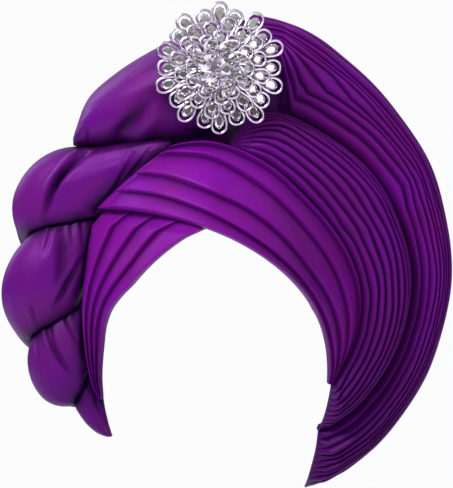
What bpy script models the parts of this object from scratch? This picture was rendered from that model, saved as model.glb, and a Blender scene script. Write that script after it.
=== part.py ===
# Tied head wrap of stiff satin, as worn: a close cap, two crossing pleated brow bands, a large pleated
# fan on one side, a padded roll over the top that goes down into a twist on the other side, and a
# domed brooch of open loops and clear stones pinned to the roll.
# Metres, +Z up, -Y to the front. The origin is the inside of the cap's crown, where the head's top sits.

import math
from collections import namedtuple

import bmesh
import bpy
import numpy as np
from mathutils import Matrix

# Driving dimensions
HEAD_WIDTH = 0.150
HEAD_DEPTH = 0.196
CROWN_HEIGHT = 0.100
BROW_DROP = 0.075
CAP_WALL = 0.002
CLOTH = 0.0024
BAND_FOLD = 0.0022
BAND_BOW = 0.004
FAN_REACH = 0.175
FAN_POLE_DROP = 0.1125
FAN_BULGE = 0.008
FAN_VALLEY = 0.007
FAN_ROLL = 0.012
FAN_INNER_PLEATS = 8
FAN_OUTER_PLEATS = 10
PLEAT_RATIO = 0.45
TWIST_RADIUS = 0.034
BROOCH_RADIUS = 0.049
BROOCH_PLATE = 0.0015
STONE_RADIUS = 0.0031
HEART_STONE_RADIUS = 0.00465
GAP = 0.0004
SEAM = 0.0007
HEAD_GAP = 0.0011
ROLL_GAP = 0.0018

HALF_WIDTH = HEAD_WIDTH / 2
HALF_DEPTH = HEAD_DEPTH / 2

# Rows of a brow band, in shares: x of half the head's width, y of half its depth, z of the brow drop.
# inner is the edge at the face, outer the edge away from it, and fold_n where each fold's edge lies between.
BandRow = namedtuple(
    "BandRow", "inner_x inner_z inner_y outer_x outer_z outer_y fold_1 fold_2 fold_3"
)
OVER_ROWS = (
    BandRow(-1.20, -0.58, -0.33, -0.49, 0.00, -0.57, 0.26, 0.54, 0.86),
    BandRow(-0.67, -0.63, -0.77, -0.27, 0.05, -0.60, 0.22, 0.47, 0.81),
    BandRow(-0.12, -0.78, -1.01, -0.05, 0.06, -0.61, 0.17, 0.40, 0.79),
    BandRow(0.18, -0.925, -1.00, 0.23, -0.02, -0.61, 0.13, 0.37, 0.74),
    BandRow(0.48, -1.11, -0.93, 0.55, -0.20, -0.59, 0.11, 0.34, 0.70),
    BandRow(0.73, -1.32, -0.79, 0.88, -0.50, -0.51, 0.10, 0.31, 0.67),
    BandRow(0.93, -1.56, -0.58, 1.15, -0.81, -0.39, 0.10, 0.30, 0.64),
    BandRow(1.03, -1.75, -0.42, 1.33, -1.12, -0.28, 0.10, 0.30, 0.60),
    BandRow(1.085, -1.96, -0.31, 1.41, -1.45, -0.20, 0.10, 0.31, 0.58),
    BandRow(1.105, -2.15, -0.24, 1.36, -1.85, -0.17, 0.12, 0.34, 0.60),
    BandRow(1.105, -2.33, -0.18, 1.145, -2.34, -0.16, 0.20, 0.44, 0.70),
)
UNDER_ROWS = (
    BandRow(-0.29, -0.88, -0.94, -1.24, -0.76, -0.27, 0.28, 0.52, 0.76),
    BandRow(-0.67, -1.20, -0.77, -1.29, -1.05, -0.25, 0.28, 0.52, 0.76),
    BandRow(-0.975, -1.50, -0.55, -1.33, -1.40, -0.22, 0.28, 0.52, 0.76),
    BandRow(-1.09, -1.72, -0.39, -1.34, -1.72, -0.19, 0.28, 0.52, 0.76),
    BandRow(-1.13, -1.98, -0.28, -1.31, -2.02, -0.16, 0.28, 0.52, 0.76),
    BandRow(-1.15, -2.25, -0.21, -1.25, -2.28, -0.14, 0.28, 0.52, 0.76),
    BandRow(-1.14, -2.48, -0.15, -1.18, -2.48, -0.12, 0.28, 0.52, 0.76),
)
# Where the under band's first row lies beneath the over band: from and to along it, and how far in.
UNDER_LAP_FROM = 2.25
UNDER_LAP_TO = 0.05
UNDER_LAP_IN = 0.08

# Rows of the fan, top to bottom. along counts rows of the over band's outer edge, which the fan sits on;
# angle and reach (a share of the fan's reach) give the outer edge about the pole; depth is a share of
# half the head's depth; valley is where the deep fold between the two groups of pleats lies.
FanRow = namedtuple("FanRow", "along valley angle reach depth")
FAN_ROWS = (
    FanRow(3.30, 0.28, 83.5, 1.235, -0.12),
    FanRow(3.90, 0.40, 73.0, 1.215, -0.10),
    FanRow(4.50, 0.47, 61.0, 1.163, -0.06),
    FanRow(5.35, 0.55, 46.5, 1.111, -0.02),
    FanRow(6.00, 0.58, 33.0, 1.082, 0.03),
    FanRow(6.70, 0.60, 21.6, 1.045, 0.07),
    FanRow(7.50, 0.61, 8.0, 1.017, 0.10),
    FanRow(8.30, 0.61, -5.0, 0.981, 0.13),
    FanRow(9.00, 0.59, -18.0, 0.957, 0.16),
    FanRow(9.45, 0.56, -31.0, 0.938, 0.21),
    FanRow(9.75, 0.52, -45.0, 0.928, 0.27),
    FanRow(9.92, 0.48, -57.0, 0.915, 0.33),
    FanRow(10.0, 0.45, -65.0, 0.905, 0.36),
)

# The fan's cross-section, in shares of the way from its seat to its outer edge: where its edge starts to roll
# back and how wide the deep fold is. It swells between them by a power of a sine, less at its two ends.
ROLL_FROM = 0.86
VALLEY_WIDTH = 0.10
SWELL_POWER = 0.7
END_BULGE = 0.3
ALMOST_ALL = 0.999999
# How far the bands and the fan lean away from the fan's pole at their outer edge.
EDGE_LEAN = 0.65

# Rows of the roll over the top, left to right: its place across, its lowest and highest level and its front
# and back, in the shares that the bands use.
RollRow = namedtuple("RollRow", "x low high front back")
ROLL_ROWS = (
    RollRow(-1.43, 0.04, 0.12, -0.19, -0.08),
    RollRow(-1.39, 0.03, 0.24, -0.29, 0.00),
    RollRow(-1.32, 0.03, 0.43, -0.39, 0.09),
    RollRow(-1.22, 0.03, 0.58, -0.46, 0.15),
    RollRow(-1.02, 0.03, 0.745, -0.55, 0.22),
    RollRow(-0.82, 0.04, 0.88, -0.61, 0.27),
    RollRow(-0.57, 0.04, 1.02, -0.66, 0.30),
    RollRow(-0.27, -0.02, 1.18, -0.68, 0.32),
    RollRow(-0.02, -0.06, 1.28, -0.68, 0.33),
    RollRow(0.15, -0.06, 1.33, -0.58, 0.33),
    RollRow(0.28, -0.04, 1.30, -0.24, 0.33),
    RollRow(0.45, 0.00, 1.18, -0.06, 0.31),
    RollRow(0.68, 0.20, 0.95, 0.03, 0.27),
    RollRow(0.83, 0.42, 0.72, 0.09, 0.21),
)

# The roll's rings are ellipses made squarer by this power.
ROLL_SQUARE = 2.3

# Rows of the twist's two strands, top to bottom: the middle's place in the bands' shares, and its radius as a
# share of the twist's. Strand A leads in from the brow, makes the first and the third lobe and ends behind
# the tail. Strand B starts behind the first lobe, makes the second one and ends in the tail.
StrandRow = namedtuple("StrandRow", "x z y radius")
STRAND_A_ROWS = (
    StrandRow(-0.45, 0.03, -0.51, 0.09),
    StrandRow(-0.62, -0.04, -0.46, 0.31),
    StrandRow(-0.89, -0.17, -0.34, 0.55),
    StrandRow(-1.19, -0.29, -0.22, 0.74),
    StrandRow(-1.47, -0.39, -0.14, 0.90),
    StrandRow(-1.65, -0.555, -0.07, 0.88),
    StrandRow(-1.70, -0.77, 0.05, 0.70),
    StrandRow(-1.65, -1.04, 0.15, 0.60),
    StrandRow(-1.54, -1.32, 0.15, 0.62),
    StrandRow(-1.47, -1.58, 0.06, 0.64),
    StrandRow(-1.50, -1.85, -0.07, 0.71),
    StrandRow(-1.57, -2.11, -0.10, 0.71),
    StrandRow(-1.54, -2.32, -0.07, 0.57),
    StrandRow(-1.46, -2.43, 0.02, 0.32),
    StrandRow(-1.42, -2.49, 0.06, 0.12),
)
STRAND_B_ROWS = (
    StrandRow(-1.16, -0.42, 0.02, 0.12),
    StrandRow(-1.22, -0.58, -0.03, 0.38),
    StrandRow(-1.35, -0.76, -0.09, 0.62),
    StrandRow(-1.53, -1.00, -0.14, 0.77),
    StrandRow(-1.69, -1.25, -0.14, 0.88),
    StrandRow(-1.75, -1.47, -0.07, 0.88),
    StrandRow(-1.71, -1.69, 0.04, 0.74),
    StrandRow(-1.59, -1.92, 0.13, 0.57),
    StrandRow(-1.45, -2.15, 0.10, 0.47),
    StrandRow(-1.33, -2.36, 0.00, 0.40),
    StrandRow(-1.275, -2.52, -0.06, 0.33),
    StrandRow(-1.215, -2.66, -0.07, 0.255),
    StrandRow(-1.155, -2.76, -0.05, 0.18),
    StrandRow(-1.09, -2.83, -0.03, 0.09),
    StrandRow(-1.05, -2.855, -0.02, 0.02),
)
# A strand's depth from front to back, as a share of its width, and how much farther than its own surface it
# keeps from the other strand, as a share of the radius. No ring is pinched below the least share.
STRAND_FLAT = 0.72
STRAND_APART = 0.15
STRAND_PINCH = 0.08
# The twist curves in behind the bands: over how much width, how bowed, and how far outside their edge it
# has reached its full depth.
VALLEY_REACH = 0.018
VALLEY_BOW = 1.0
VALLEY_LEAD = 0.008
# The gap that the twist keeps below the roll.
ROLL_SEAM = 0.0012

# The cap's rim: degrees round from the front, and how far it is below the crown in brow drops.
RimRow = namedtuple("RimRow", "around drop")
RIM_ROWS = (
    RimRow(0.0, 0.60),
    RimRow(20.0, 0.66),
    RimRow(45.0, 0.92),
    RimRow(65.0, 1.15),
    RimRow(90.0, 1.36),
    RimRow(115.0, 1.10),
    RimRow(140.0, 0.86),
    RimRow(160.0, 0.76),
    RimRow(180.0, 0.68),
)

# Tiers of the brooch, each a pierced plate of drop-shaped loops with a stone in each loop's throat: how many
# loops, and in shares of the brooch's radius the tip's and the root's distance from the middle, the loop's
# width and how far the tier stands to the front. turn is a share of the spacing.
Tier = namedtuple("Tier", "count tip root width rise turn")
FRAME_TIERS = (
    Tier(20, 1.00, 0.38, 0.250, 0.03, 0.0),
    Tier(16, 0.78, 0.31, 0.230, 0.14, 0.5),
)
CENTER_TIERS = (Tier(12, 0.57, 0.19, 0.215, 0.26, 0.0),)
# The loop's outer and inner outlines: how far out along the loop, and to the side as a share of half its
# width.
LoopPoint = namedtuple("LoopPoint", "out side")
LOOP_OUTLINE = (
    LoopPoint(0.30, -0.40),
    LoopPoint(0.74, -0.98),
    LoopPoint(0.97, -0.52),
    LoopPoint(0.97, 0.52),
    LoopPoint(0.74, 0.98),
    LoopPoint(0.30, 0.40),
)
LOOP_HOLE = (
    LoopPoint(0.56, -0.30),
    LoopPoint(0.56, 0.30),
    LoopPoint(0.75, 0.62),
    LoopPoint(0.88, 0.30),
    LoopPoint(0.88, -0.30),
    LoopPoint(0.75, -0.62),
)
# A hub is a short cone that its tiers' roots run into: radius and rise at its back and its front.
Hub = namedtuple("Hub", "back_radius back_rise front_radius front_rise")
FRAME_HUB = Hub(0.42, 0.0, 0.33, 0.17)
CENTER_HUB = Hub(0.24, 0.18, 0.16, 0.36)
PETALS = 8
PETAL_ROOT, PETAL_TIP, PETAL_WIDTH, PETAL_RISE = 0.06, 0.36, 0.12, 0.31
# A petal's turn to each side in radians, the drop from root to tip, its ridge and its keel.
PETAL_TURN, PETAL_TILT, PETAL_RIDGE, PETAL_KEEL = 0.25, 0.02, 0.06, 0.09
MIDDLE_STONES = 6
MIDDLE_STONE_RING, MIDDLE_STONE_RISE, HEART_STONE_RISE = 0.13, 0.33, 0.38
# How far out along a loop its stone sits, and how far it stands before the tier.
THROAT = 0.40
STONE_PROUD = 0.03
# A stone is sunk in its setting, and its table and depth are shares of its radius.
STONE_SUNK, STONE_TABLE, STONE_DEPTH, STONE_FACETS = 0.3, 0.55, 0.85, 8
BROOCH_X = 0.03
BROOCH_Z = 0.78
PIN_RADIUS, PIN_THICK = 0.012, 0.0016
WELD = 0.00001


def clear_scene():
    for thing in list(bpy.data.objects):
        bpy.data.objects.remove(thing, do_unlink=True)


def new_material(name, colour, roughness, metallic):
    material = bpy.data.materials.new(name)
    material.use_nodes = True
    shader = material.node_tree.nodes["Principled BSDF"]
    shader.inputs["Base Color"].default_value = (*colour, 1.0)
    shader.inputs["Roughness"].default_value = roughness
    shader.inputs["Metallic"].default_value = metallic
    return material


def satin(name, colour=(0.19, 0.012, 0.36)):
    return new_material(name + "_satin", colour, 0.42, 0.0)


def silver(name):
    return new_material(name + "_silver", (0.82, 0.82, 0.84), 0.22, 1.0)


def add_object(name, mesh, material, collection):
    mesh.materials.clear()
    mesh.materials.append(material)
    thing = bpy.data.objects.new(name, mesh)
    collection.objects.link(thing)
    return thing


def place(x, y, z):
    """A point from shares of half the head's width and depth and of the brow drop."""
    return np.array([x * HALF_WIDTH, y * HALF_DEPTH, z * BROW_DROP])


def between(rows, at):
    """The table's row at a place counted in rows, on a smooth curve through them."""
    table = np.asarray(rows, float)
    last = len(table) - 1
    at = min(max(at, 0.0), float(last))
    k = min(int(at), last - 1)
    s = at - k
    a, b = table[k], table[k + 1]
    before = table[k - 1] if k else 2 * a - b
    after = table[k + 2] if k + 2 <= last else 2 * b - a
    curve = (
        2 * a
        + (b - before) * s
        + (2 * before - 5 * a + 4 * b - after) * s**2
        + (3 * a - before - 3 * b + after) * s**3
    ) / 2
    return type(rows[0])(*curve)


def clear_of_head(point, standoff):
    """The point, moved straight out from the head's middle if it is nearer the head than standoff."""
    middle = np.array([0.0, 0.0, -CROWN_HEIGHT])
    axes = np.array([HALF_WIDTH, HALF_DEPTH, CROWN_HEIGHT]) + standoff
    level = np.linalg.norm((point - middle) / axes)
    return point if level >= 1 else middle + (point - middle) / level


def facing(point):
    """The way the bands and the fan face: forward, leaning away from the fan's pole."""
    across = np.array([point[0], 0.0, point[2] + FAN_POLE_DROP])
    far = np.linalg.norm(across)
    lean = EDGE_LEAN * (1 - math.exp(-((far / HALF_WIDTH) ** 2)))
    way = across / max(far, 1e-6) * lean + np.array([0.0, -1.0, 0.0])
    return way / np.linalg.norm(way)


def faces_between(rows, columns, offset, turned):
    """Triangles of a grid of points, row after row."""
    faces = []
    for r in range(rows - 1):
        for c in range(columns - 1):
            a = offset + r * columns + c
            b, d = a + 1, a + columns
            e = d + 1
            faces += [(a, b, e), (a, e, d)] if not turned else [(a, e, b), (a, d, e)]
    return faces


def wall_mesh(name, front, back):
    """A closed wall between two grids of points of the same size."""
    front, back = np.asarray(front), np.asarray(back)
    rows, columns = front.shape[:2]
    count = rows * columns
    faces = faces_between(rows, columns, 0, False) + faces_between(rows, columns, count, True)
    rim = [c for c in range(columns)]
    rim += [r * columns + columns - 1 for r in range(1, rows)]
    rim += [(rows - 1) * columns + c for c in range(columns - 2, -1, -1)]
    rim += [r * columns for r in range(rows - 2, 0, -1)]
    for here, after in zip(rim, rim[1:] + rim[:1]):
        faces += [(here, here + count, after + count), (here, after + count, after)]
    mesh = bpy.data.meshes.new(name)
    mesh.from_pydata(np.concatenate([front.reshape(-1, 3), back.reshape(-1, 3)]).tolist(), [], faces)
    return facing_out(mesh)


def loft_mesh(name, sections, inner=None):
    """A closed body through rings of points, its ends closed flat. A quad is cut along its shorter diagonal,
    but on a strand's inner side, from a quarter to three quarters round, along the one that inner asks for,
    so that two strands that face each other keep their gap."""
    sections = np.asarray(sections)
    rings, around = sections.shape[:2]
    points = sections.reshape(-1, 3)
    faces = []
    for r in range(rings - 1):
        for c in range(around):
            a, b = r * around + c, r * around + (c + 1) % around
            d, e = a + around, b + around
            if inner is not None and around / 4 <= c < 3 * around / 4 - 1:
                crossed = inner
            else:
                crossed = np.linalg.norm(points[b] - points[d]) < np.linalg.norm(points[a] - points[e])
            faces += [(a, b, d), (b, e, d)] if crossed else [(a, b, e), (a, e, d)]
    faces += [tuple(range(around)), tuple((rings - 1) * around + c for c in range(around))]
    mesh = bpy.data.meshes.new(name)
    mesh.from_pydata(sections.reshape(-1, 3).tolist(), [], faces)
    return facing_out(mesh)


def facing_out(mesh):
    """The mesh with all its faces turned outwards and shaded smooth between its sharp edges."""
    work = bmesh.new()
    work.from_mesh(mesh)
    bmesh.ops.recalc_face_normals(work, faces=work.faces)
    if work.calc_volume(signed=True) < 0:
        bmesh.ops.reverse_faces(work, faces=work.faces)
    work.to_mesh(mesh)
    work.free()
    mesh.shade_smooth()
    mesh.set_sharp_from_angle(angle=math.radians(40))
    return mesh


def head_cap(collection, around=28, down=6):
    """The cap: an open shell on the head down to its rim, thickened outwards."""
    rim_angles = np.array([row.around for row in RIM_ROWS])
    rim_drops = np.array([row.drop for row in RIM_ROWS]) * BROW_DROP
    points = [(0.0, 0.0, 0.0)]
    for ring in range(1, down + 1):
        for step in range(around):
            turn = 2 * math.pi * step / around
            from_front = abs(math.degrees(math.remainder(turn, 2 * math.pi)))
            drop = np.interp(from_front, rim_angles, rim_drops)
            rim = math.acos(1 - drop / CROWN_HEIGHT)
            tilt = rim * ring / down
            points.append((
                HALF_WIDTH * math.sin(tilt) * math.sin(turn),
                -HALF_DEPTH * math.sin(tilt) * math.cos(turn),
                CROWN_HEIGHT * (math.cos(tilt) - 1),
            ))
    faces = [(0, 1 + c, 1 + (c + 1) % around) for c in range(around)]
    for ring in range(down - 1):
        for c in range(around):
            a = 1 + ring * around + c
            b = 1 + ring * around + (c + 1) % around
            faces.append((a, a + around, b + around, b))
    mesh = bpy.data.meshes.new("head_cap")
    mesh.from_pydata(points, [], faces)
    work = bmesh.new()
    work.from_mesh(mesh)
    bmesh.ops.recalc_face_normals(work, faces=work.faces)
    crown = min(work.faces, key=lambda face: -face.calc_center_median().z)
    if crown.normal.z < 0:
        bmesh.ops.reverse_faces(work, faces=work.faces)
    work.to_mesh(mesh)
    work.free()
    mesh.shade_smooth()
    cap = add_object("head_cap", mesh, satin("head_cap", (0.10, 0.006, 0.20)), collection)
    shell = cap.modifiers.new("wall", "SOLIDIFY")
    shell.thickness = CAP_WALL
    shell.offset = 1.0
    shell.use_even_offset = True
    return cap


def band_base(rows, at, across):
    """A point on a band's plain surface, from its inner edge at 0 to its outer edge at 1."""
    row = between(rows, at)
    inner = place(row.inner_x, row.inner_y, row.inner_z)
    outer = place(row.outer_x, row.outer_y, row.outer_z)
    point = inner + (outer - inner) * across
    width = np.linalg.norm(outer - inner)
    bow = min(BAND_BOW, 0.08 * width) * 4 * across * (1 - across)
    return point + facing(point) * bow


def fold_columns(folds):
    """Places across a band and the height there: each fold is high at its lower edge and runs down."""
    edges = [0.0, *folds, 1.0]
    columns = []
    for low, high in zip(edges, edges[1:]):
        width = high - low
        columns += [(low, 1.0), (low + 0.45 * width, 0.75), (high - 0.06 * width, 0.0)]
    return columns + [(1.0, 0.0)]


def band_point(base, height, beneath=0.0):
    """A point on a band's front, clear of the head and of what lies beneath the band."""
    return clear_of_head(base + facing(base) * height, CAP_WALL + HEAD_GAP + beneath + CLOTH + height)


def wall_back(base, beneath=0.0):
    return clear_of_head(base - facing(base) * CLOTH, CAP_WALL + HEAD_GAP + beneath)


def band_fade(at, last):
    """The folds lie flat at the band's two ends."""
    return min(1.0, 0.35 + min(at, last - at))


def brow_wrap_over(collection, rows=17):
    last = len(OVER_ROWS) - 1
    beneath = CLOTH + SEAM + BAND_FOLD / 2
    front, back = [], []
    for at in np.linspace(0, last, rows):
        row = between(OVER_ROWS, at)
        height = BAND_FOLD * band_fade(at, last)
        columns = fold_columns((row.fold_1, row.fold_2, row.fold_3))
        bases = [band_base(OVER_ROWS, at, across) for across, _ in columns]
        front.append([band_point(base, height * share, beneath) for base, (_, share) in zip(bases, columns)])
        back.append([wall_back(base, beneath) for base in bases])
    mesh = wall_mesh("brow_wrap_over", front, back)
    return add_object("brow_wrap_over", mesh, satin("brow_wrap_over"), collection)


def under_lap(across):
    """The under band's first row: beneath the over band, just inside its lower edge."""
    at = UNDER_LAP_FROM + (UNDER_LAP_TO - UNDER_LAP_FROM) * across
    base = band_base(OVER_ROWS, at, UNDER_LAP_IN)
    return base - facing(base) * (CLOTH + 6 * SEAM + BAND_FOLD)


def brow_wrap_under(collection, count=13):
    last = len(UNDER_ROWS) - 1
    columns = fold_columns((UNDER_ROWS[0].fold_1, UNDER_ROWS[0].fold_2, UNDER_ROWS[0].fold_3))
    lap = [under_lap(across) for across, _ in columns]
    rows = [lap]
    fades = [0.3]
    for at in np.linspace(0, last, count):
        rows.append([band_base(UNDER_ROWS, at, across) for across, _ in columns])
        fades.append(min(1.0, 0.35 + (last - at)))
    rows.insert(1, [(here + after) / 2 for here, after in zip(lap, rows[1])])
    fades.insert(1, 0.6)
    front = [
        [band_point(base, BAND_FOLD * fade * share) for base, (_, share) in zip(bases, columns)]
        for bases, fade in zip(rows, fades)
    ]
    back = [[wall_back(base) for base in bases] for bases in rows]
    mesh = wall_mesh("brow_wrap_under", front, back)
    return add_object("brow_wrap_under", mesh, satin("brow_wrap_under"), collection)


def fan_base(at, share):
    """A point on the fan's plain surface, from its seat on the band at 0 to its outer edge at 1."""
    row = between(FAN_ROWS, at)
    seat = band_base(OVER_ROWS, row.along, 1.0)
    angle = math.radians(row.angle)
    reach = FAN_REACH * row.reach
    outer = np.array([
        reach * math.cos(angle),
        row.depth * HALF_DEPTH,
        reach * math.sin(angle) - FAN_POLE_DROP,
    ])
    way = (outer - seat) / np.linalg.norm(outer - seat)
    seat = seat + way * SEAM
    point = seat + (outer - seat) * share
    if share < row.valley:
        swell = math.sin(math.pi * share / row.valley) ** SWELL_POWER
    else:
        swell = math.sin(math.pi * min((share - row.valley) / (1 - row.valley), ALMOST_ALL)) ** SWELL_POWER
    dip = FAN_VALLEY * math.exp(-(((share - row.valley) / VALLEY_WIDTH) ** 2))
    roll = FAN_ROLL * max(0.0, (share - ROLL_FROM) / (1 - ROLL_FROM)) ** 2
    ends = min(1.0, END_BULGE + (1 - END_BULGE) * min(at, len(FAN_ROWS) - 1 - at))
    return point + facing(point) * ends * (FAN_BULGE * swell - dip) + np.array([0.0, roll, 0.0])


def fan_group(name, collection, first, last, pleats, crowd, rows=17):
    """One group of pleats: first and last say where it runs across each row of the fan."""
    front, back = [], []
    for at in np.linspace(0, len(FAN_ROWS) - 1, rows):
        low, high = first(at), last(at)
        pitch = np.linalg.norm(fan_base(at, high) - fan_base(at, low)) / pleats
        front_row, back_row = [], []
        for column in range(2 * pleats + 1):
            part = 1 - (1 - column / (2 * pleats)) ** crowd
            base = fan_base(at, low + (high - low) * part)
            height = PLEAT_RATIO * pitch * (column % 2)
            front_row.append(clear_of_head(base + facing(base) * height, CAP_WALL + HEAD_GAP + CLOTH))
            back_row.append(clear_of_head(base + facing(base) * (height - CLOTH), CAP_WALL + HEAD_GAP))
        front.append(front_row)
        back.append(back_row)
    mesh = wall_mesh(name, front, back)
    return add_object(name, mesh, satin(name), collection)


def valley_side(side):
    """Where a group ends beside the deep fold: its share, half a gap to one side."""
    def share(at):
        row = between(FAN_ROWS, at)
        width = np.linalg.norm(fan_base(at, 1.0) - fan_base(at, 0.0))
        return row.valley + side * SEAM / 2 / width
    return share


def fan(collection):
    fan_group("fan_inner", collection, lambda at: 0.0, valley_side(-1), FAN_INNER_PLEATS, 1.0)
    fan_group("fan_outer", collection, valley_side(1), lambda at: 1.0, FAN_OUTER_PLEATS, 1.2)


def ring_points(middle, side, up, half_side, half_up, count, power):
    """A rounded ring of points, an ellipse made squarer by power above 2."""
    points = []
    for step in range(count):
        angle = 2 * math.pi * (step + 0.5) / count
        c, s = math.cos(angle), math.sin(angle)
        points.append(
            middle
            + side * half_side * math.copysign(abs(c) ** (2 / power), c)
            + up * half_up * math.copysign(abs(s) ** (2 / power), s)
        )
    return points


def top_roll(collection, around=18, count=14):
    front_way, up = np.array([0.0, -1.0, 0.0]), np.array([0.0, 0.0, 1.0])
    sections = []
    for at in np.linspace(0, len(ROLL_ROWS) - 1, count):
        row = between(ROLL_ROWS, at)
        low = place(row.x, row.front, row.low)
        high = place(row.x, row.back, row.high)
        half = (high - low) / 2
        ring = ring_points((low + high) / 2, front_way, up, half[1], half[2], around, ROLL_SQUARE)
        sections.append([clear_of_head(point, CAP_WALL + ROLL_GAP) for point in ring])
    mesh = loft_mesh("top_roll", sections)
    return add_object("top_roll", mesh, satin("top_roll"), collection)


def behind_bands(point):
    """The point, moved back where it lies behind the left edge of the brow bands or close beside it."""
    edges = [band_base(UNDER_ROWS, at, 1.0) for at in range(len(UNDER_ROWS) - 1, -1, -1)]
    edges += [band_base(OVER_ROWS, 0.0, 0.0), band_base(OVER_ROWS, 0.0, 1.0)]
    levels = [edge[2] for edge in edges]
    edge_x = np.interp(point[2], levels, [edge[0] for edge in edges])
    edge_y = np.interp(point[2], levels, [edge[1] for edge in edges]) + CLOTH + SEAM + BAND_FOLD
    inside = min((point[0] - edge_x + VALLEY_LEAD) / VALLEY_REACH + 1, 1.0)
    if inside <= 0:
        return point
    limit = edge_y - VALLEY_REACH * VALLEY_BOW * math.sqrt(1 - inside**2)
    return np.array([point[0], max(point[1], limit), point[2]])


def under_roll(point):
    """The point, moved down where it would reach into the roll."""
    across = point[0] / HALF_WIDTH
    places = [row.x for row in ROLL_ROWS]
    low, high, front, back = (np.interp(across, places, column) for column in list(zip(*ROLL_ROWS))[1:])
    middle = (low + high) / 2 * BROW_DROP
    depth = abs(point[1] / HALF_DEPTH - (front + back) / 2) / ((back - front) / 2)
    if across < places[0] or depth >= 1 or point[2] > middle:
        return point
    drop = (high - low) / 2 * BROW_DROP * (1 - depth**ROLL_SQUARE) ** (1 / ROLL_SQUARE)
    return np.array([point[0], point[1], min(point[2], middle - drop - ROLL_SEAM)])


def strand_tube(rows, around, count):
    """Rings of one strand, round in a space that is stretched from front to back, their middles and radii."""
    rows = [between(rows, at) for at in np.linspace(0, len(rows) - 1, count)]
    stretch = np.array([1.0, 1 / STRAND_FLAT, 1.0])
    middles = np.array([place(row.x, row.y, row.z) for row in rows]) * stretch
    radii = np.array([row.radius for row in rows]) * TWIST_RADIUS
    rings = []
    for middle, way, radius in zip(middles, np.gradient(middles, axis=0), radii):
        way = way / np.linalg.norm(way)
        front = np.array([0.0, -1.0, 0.0])
        front = front - way * np.dot(front, way)
        front = front / np.linalg.norm(front)
        rings.append(ring_points(middle, front, np.cross(way, front), radius, radius, around, 2.0))
    return np.array(rings), middles, radii


def pressed(rings, middles, others, other_radii):
    """The rings, pulled in to where they would meet the other strand, as two soft rolls pressed together."""
    spokes = rings - middles[:, None]
    low, high = np.full(rings.shape[:2], STRAND_PINCH), np.ones(rings.shape[:2])

    def is_clear(share):
        spots = middles[:, None] + spokes * share[..., None]
        away = np.linalg.norm(spots[:, :, None] - others, axis=-1) / other_radii
        return away.min(axis=-1) >= share + STRAND_APART

    free = is_clear(high)
    for _ in range(9):
        share = (low + high) / 2
        clear = is_clear(share)
        low = np.where(clear, share, low)
        high = np.where(clear, high, share)
    return middles[:, None] + spokes * np.where(free, 1.0, low)[..., None]


def seated(point):
    """The strand's point, clear of the head, the bands and the roll."""
    return under_roll(behind_bands(clear_of_head(point, CAP_WALL + HEAD_GAP)))


def twist_strand(name, rows, other_rows, collection, around=14, count=30):
    """One strand: its rings pressed against the other strand, beneath the roll and behind the bands."""
    rings, middles, _ = strand_tube(rows, around, count)
    _, others, other_radii = strand_tube(other_rows, 4, 90)
    rings = pressed(rings, middles, others, other_radii) * np.array([1.0, STRAND_FLAT, 1.0])
    sections = [[seated(point) for point in ring] for ring in rings]
    add_object(name, loft_mesh(name, sections), satin(name), collection)


def twist(collection):
    twist_strand("twist_strand_a", STRAND_A_ROWS, STRAND_B_ROWS, collection)
    twist_strand("twist_strand_b", STRAND_B_ROWS, STRAND_A_ROWS, collection)


def brooch_frame_at():
    """The brooch's middle on the roll: the place of its pin's back, just clear of the roll's front."""
    front = min(row.front for row in ROLL_ROWS)
    return place(BROOCH_X, front, BROOCH_Z)


def on_brooch(middle, radius, angle, rise):
    """A point of the brooch: its distance, angle and rise to the front, lengths as shares of its radius."""
    return middle + BROOCH_RADIUS * np.array([
        radius * math.sin(angle), -rise, radius * math.cos(angle)
    ])


def loop_points(tier, number, outline):
    """An outline of one loop, flat, round the brooch's middle."""
    spoke = 2 * math.pi * (number + tier.turn) / tier.count
    points = []
    for point in outline:
        radius = tier.root + (tier.tip - tier.root) * point.out
        angle = spoke + point.side * tier.width / 2 / radius
        points.append((radius * BROOCH_RADIUS * math.sin(angle), radius * BROOCH_RADIUS * math.cos(angle)))
    return points


def tier_plate(middle, tier):
    """One tier: a flat outline with a notch between each two loops and a hole in each, made thick."""
    rim, holes = [], []
    for number in range(tier.count):
        between_loops = 2 * math.pi * (number + tier.turn - 0.5) / tier.count
        notch = tier.root * BROOCH_RADIUS
        rim.append((notch * math.sin(between_loops), notch * math.cos(between_loops)))
        rim += loop_points(tier, number, LOOP_OUTLINE)
        holes.append(loop_points(tier, number, LOOP_HOLE))
    curve = bpy.data.curves.new("tier", "CURVE")
    curve.dimensions = "2D"
    curve.fill_mode = "BOTH"
    curve.extrude = BROOCH_PLATE / 2
    for outline in [rim, *holes]:
        spline = curve.splines.new("POLY")
        spline.points.add(len(outline) - 1)
        for target, point in zip(spline.points, outline):
            target.co = (*point, 0.0, 1.0)
        spline.use_cyclic_u = True
    guide = bpy.data.objects.new("tier", curve)
    guide.matrix_world = bpy_matrix(on_brooch(middle, 0.0, 0.0, tier.rise))
    bpy.context.scene.collection.objects.link(guide)
    ready = guide.evaluated_get(bpy.context.evaluated_depsgraph_get())
    mesh = bpy.data.meshes.new_from_object(ready)
    mesh.transform(guide.matrix_world)
    bpy.data.objects.remove(guide, do_unlink=True)
    return mesh


def add_cone(work, middle, back_radius, front_radius, depth, sides):
    """A short cone whose axis runs to the front, from middle to depth in front of it."""
    turned = bpy_matrix(middle + np.array([0.0, -depth / 2, 0.0]))
    bmesh.ops.create_cone(
        work, cap_ends=True, segments=sides, radius1=back_radius, radius2=front_radius, depth=depth,
        matrix=turned,
    )


def bpy_matrix(middle):
    return Matrix.Translation(middle.tolist()) @ Matrix.Rotation(math.radians(90), 4, "X")


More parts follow.
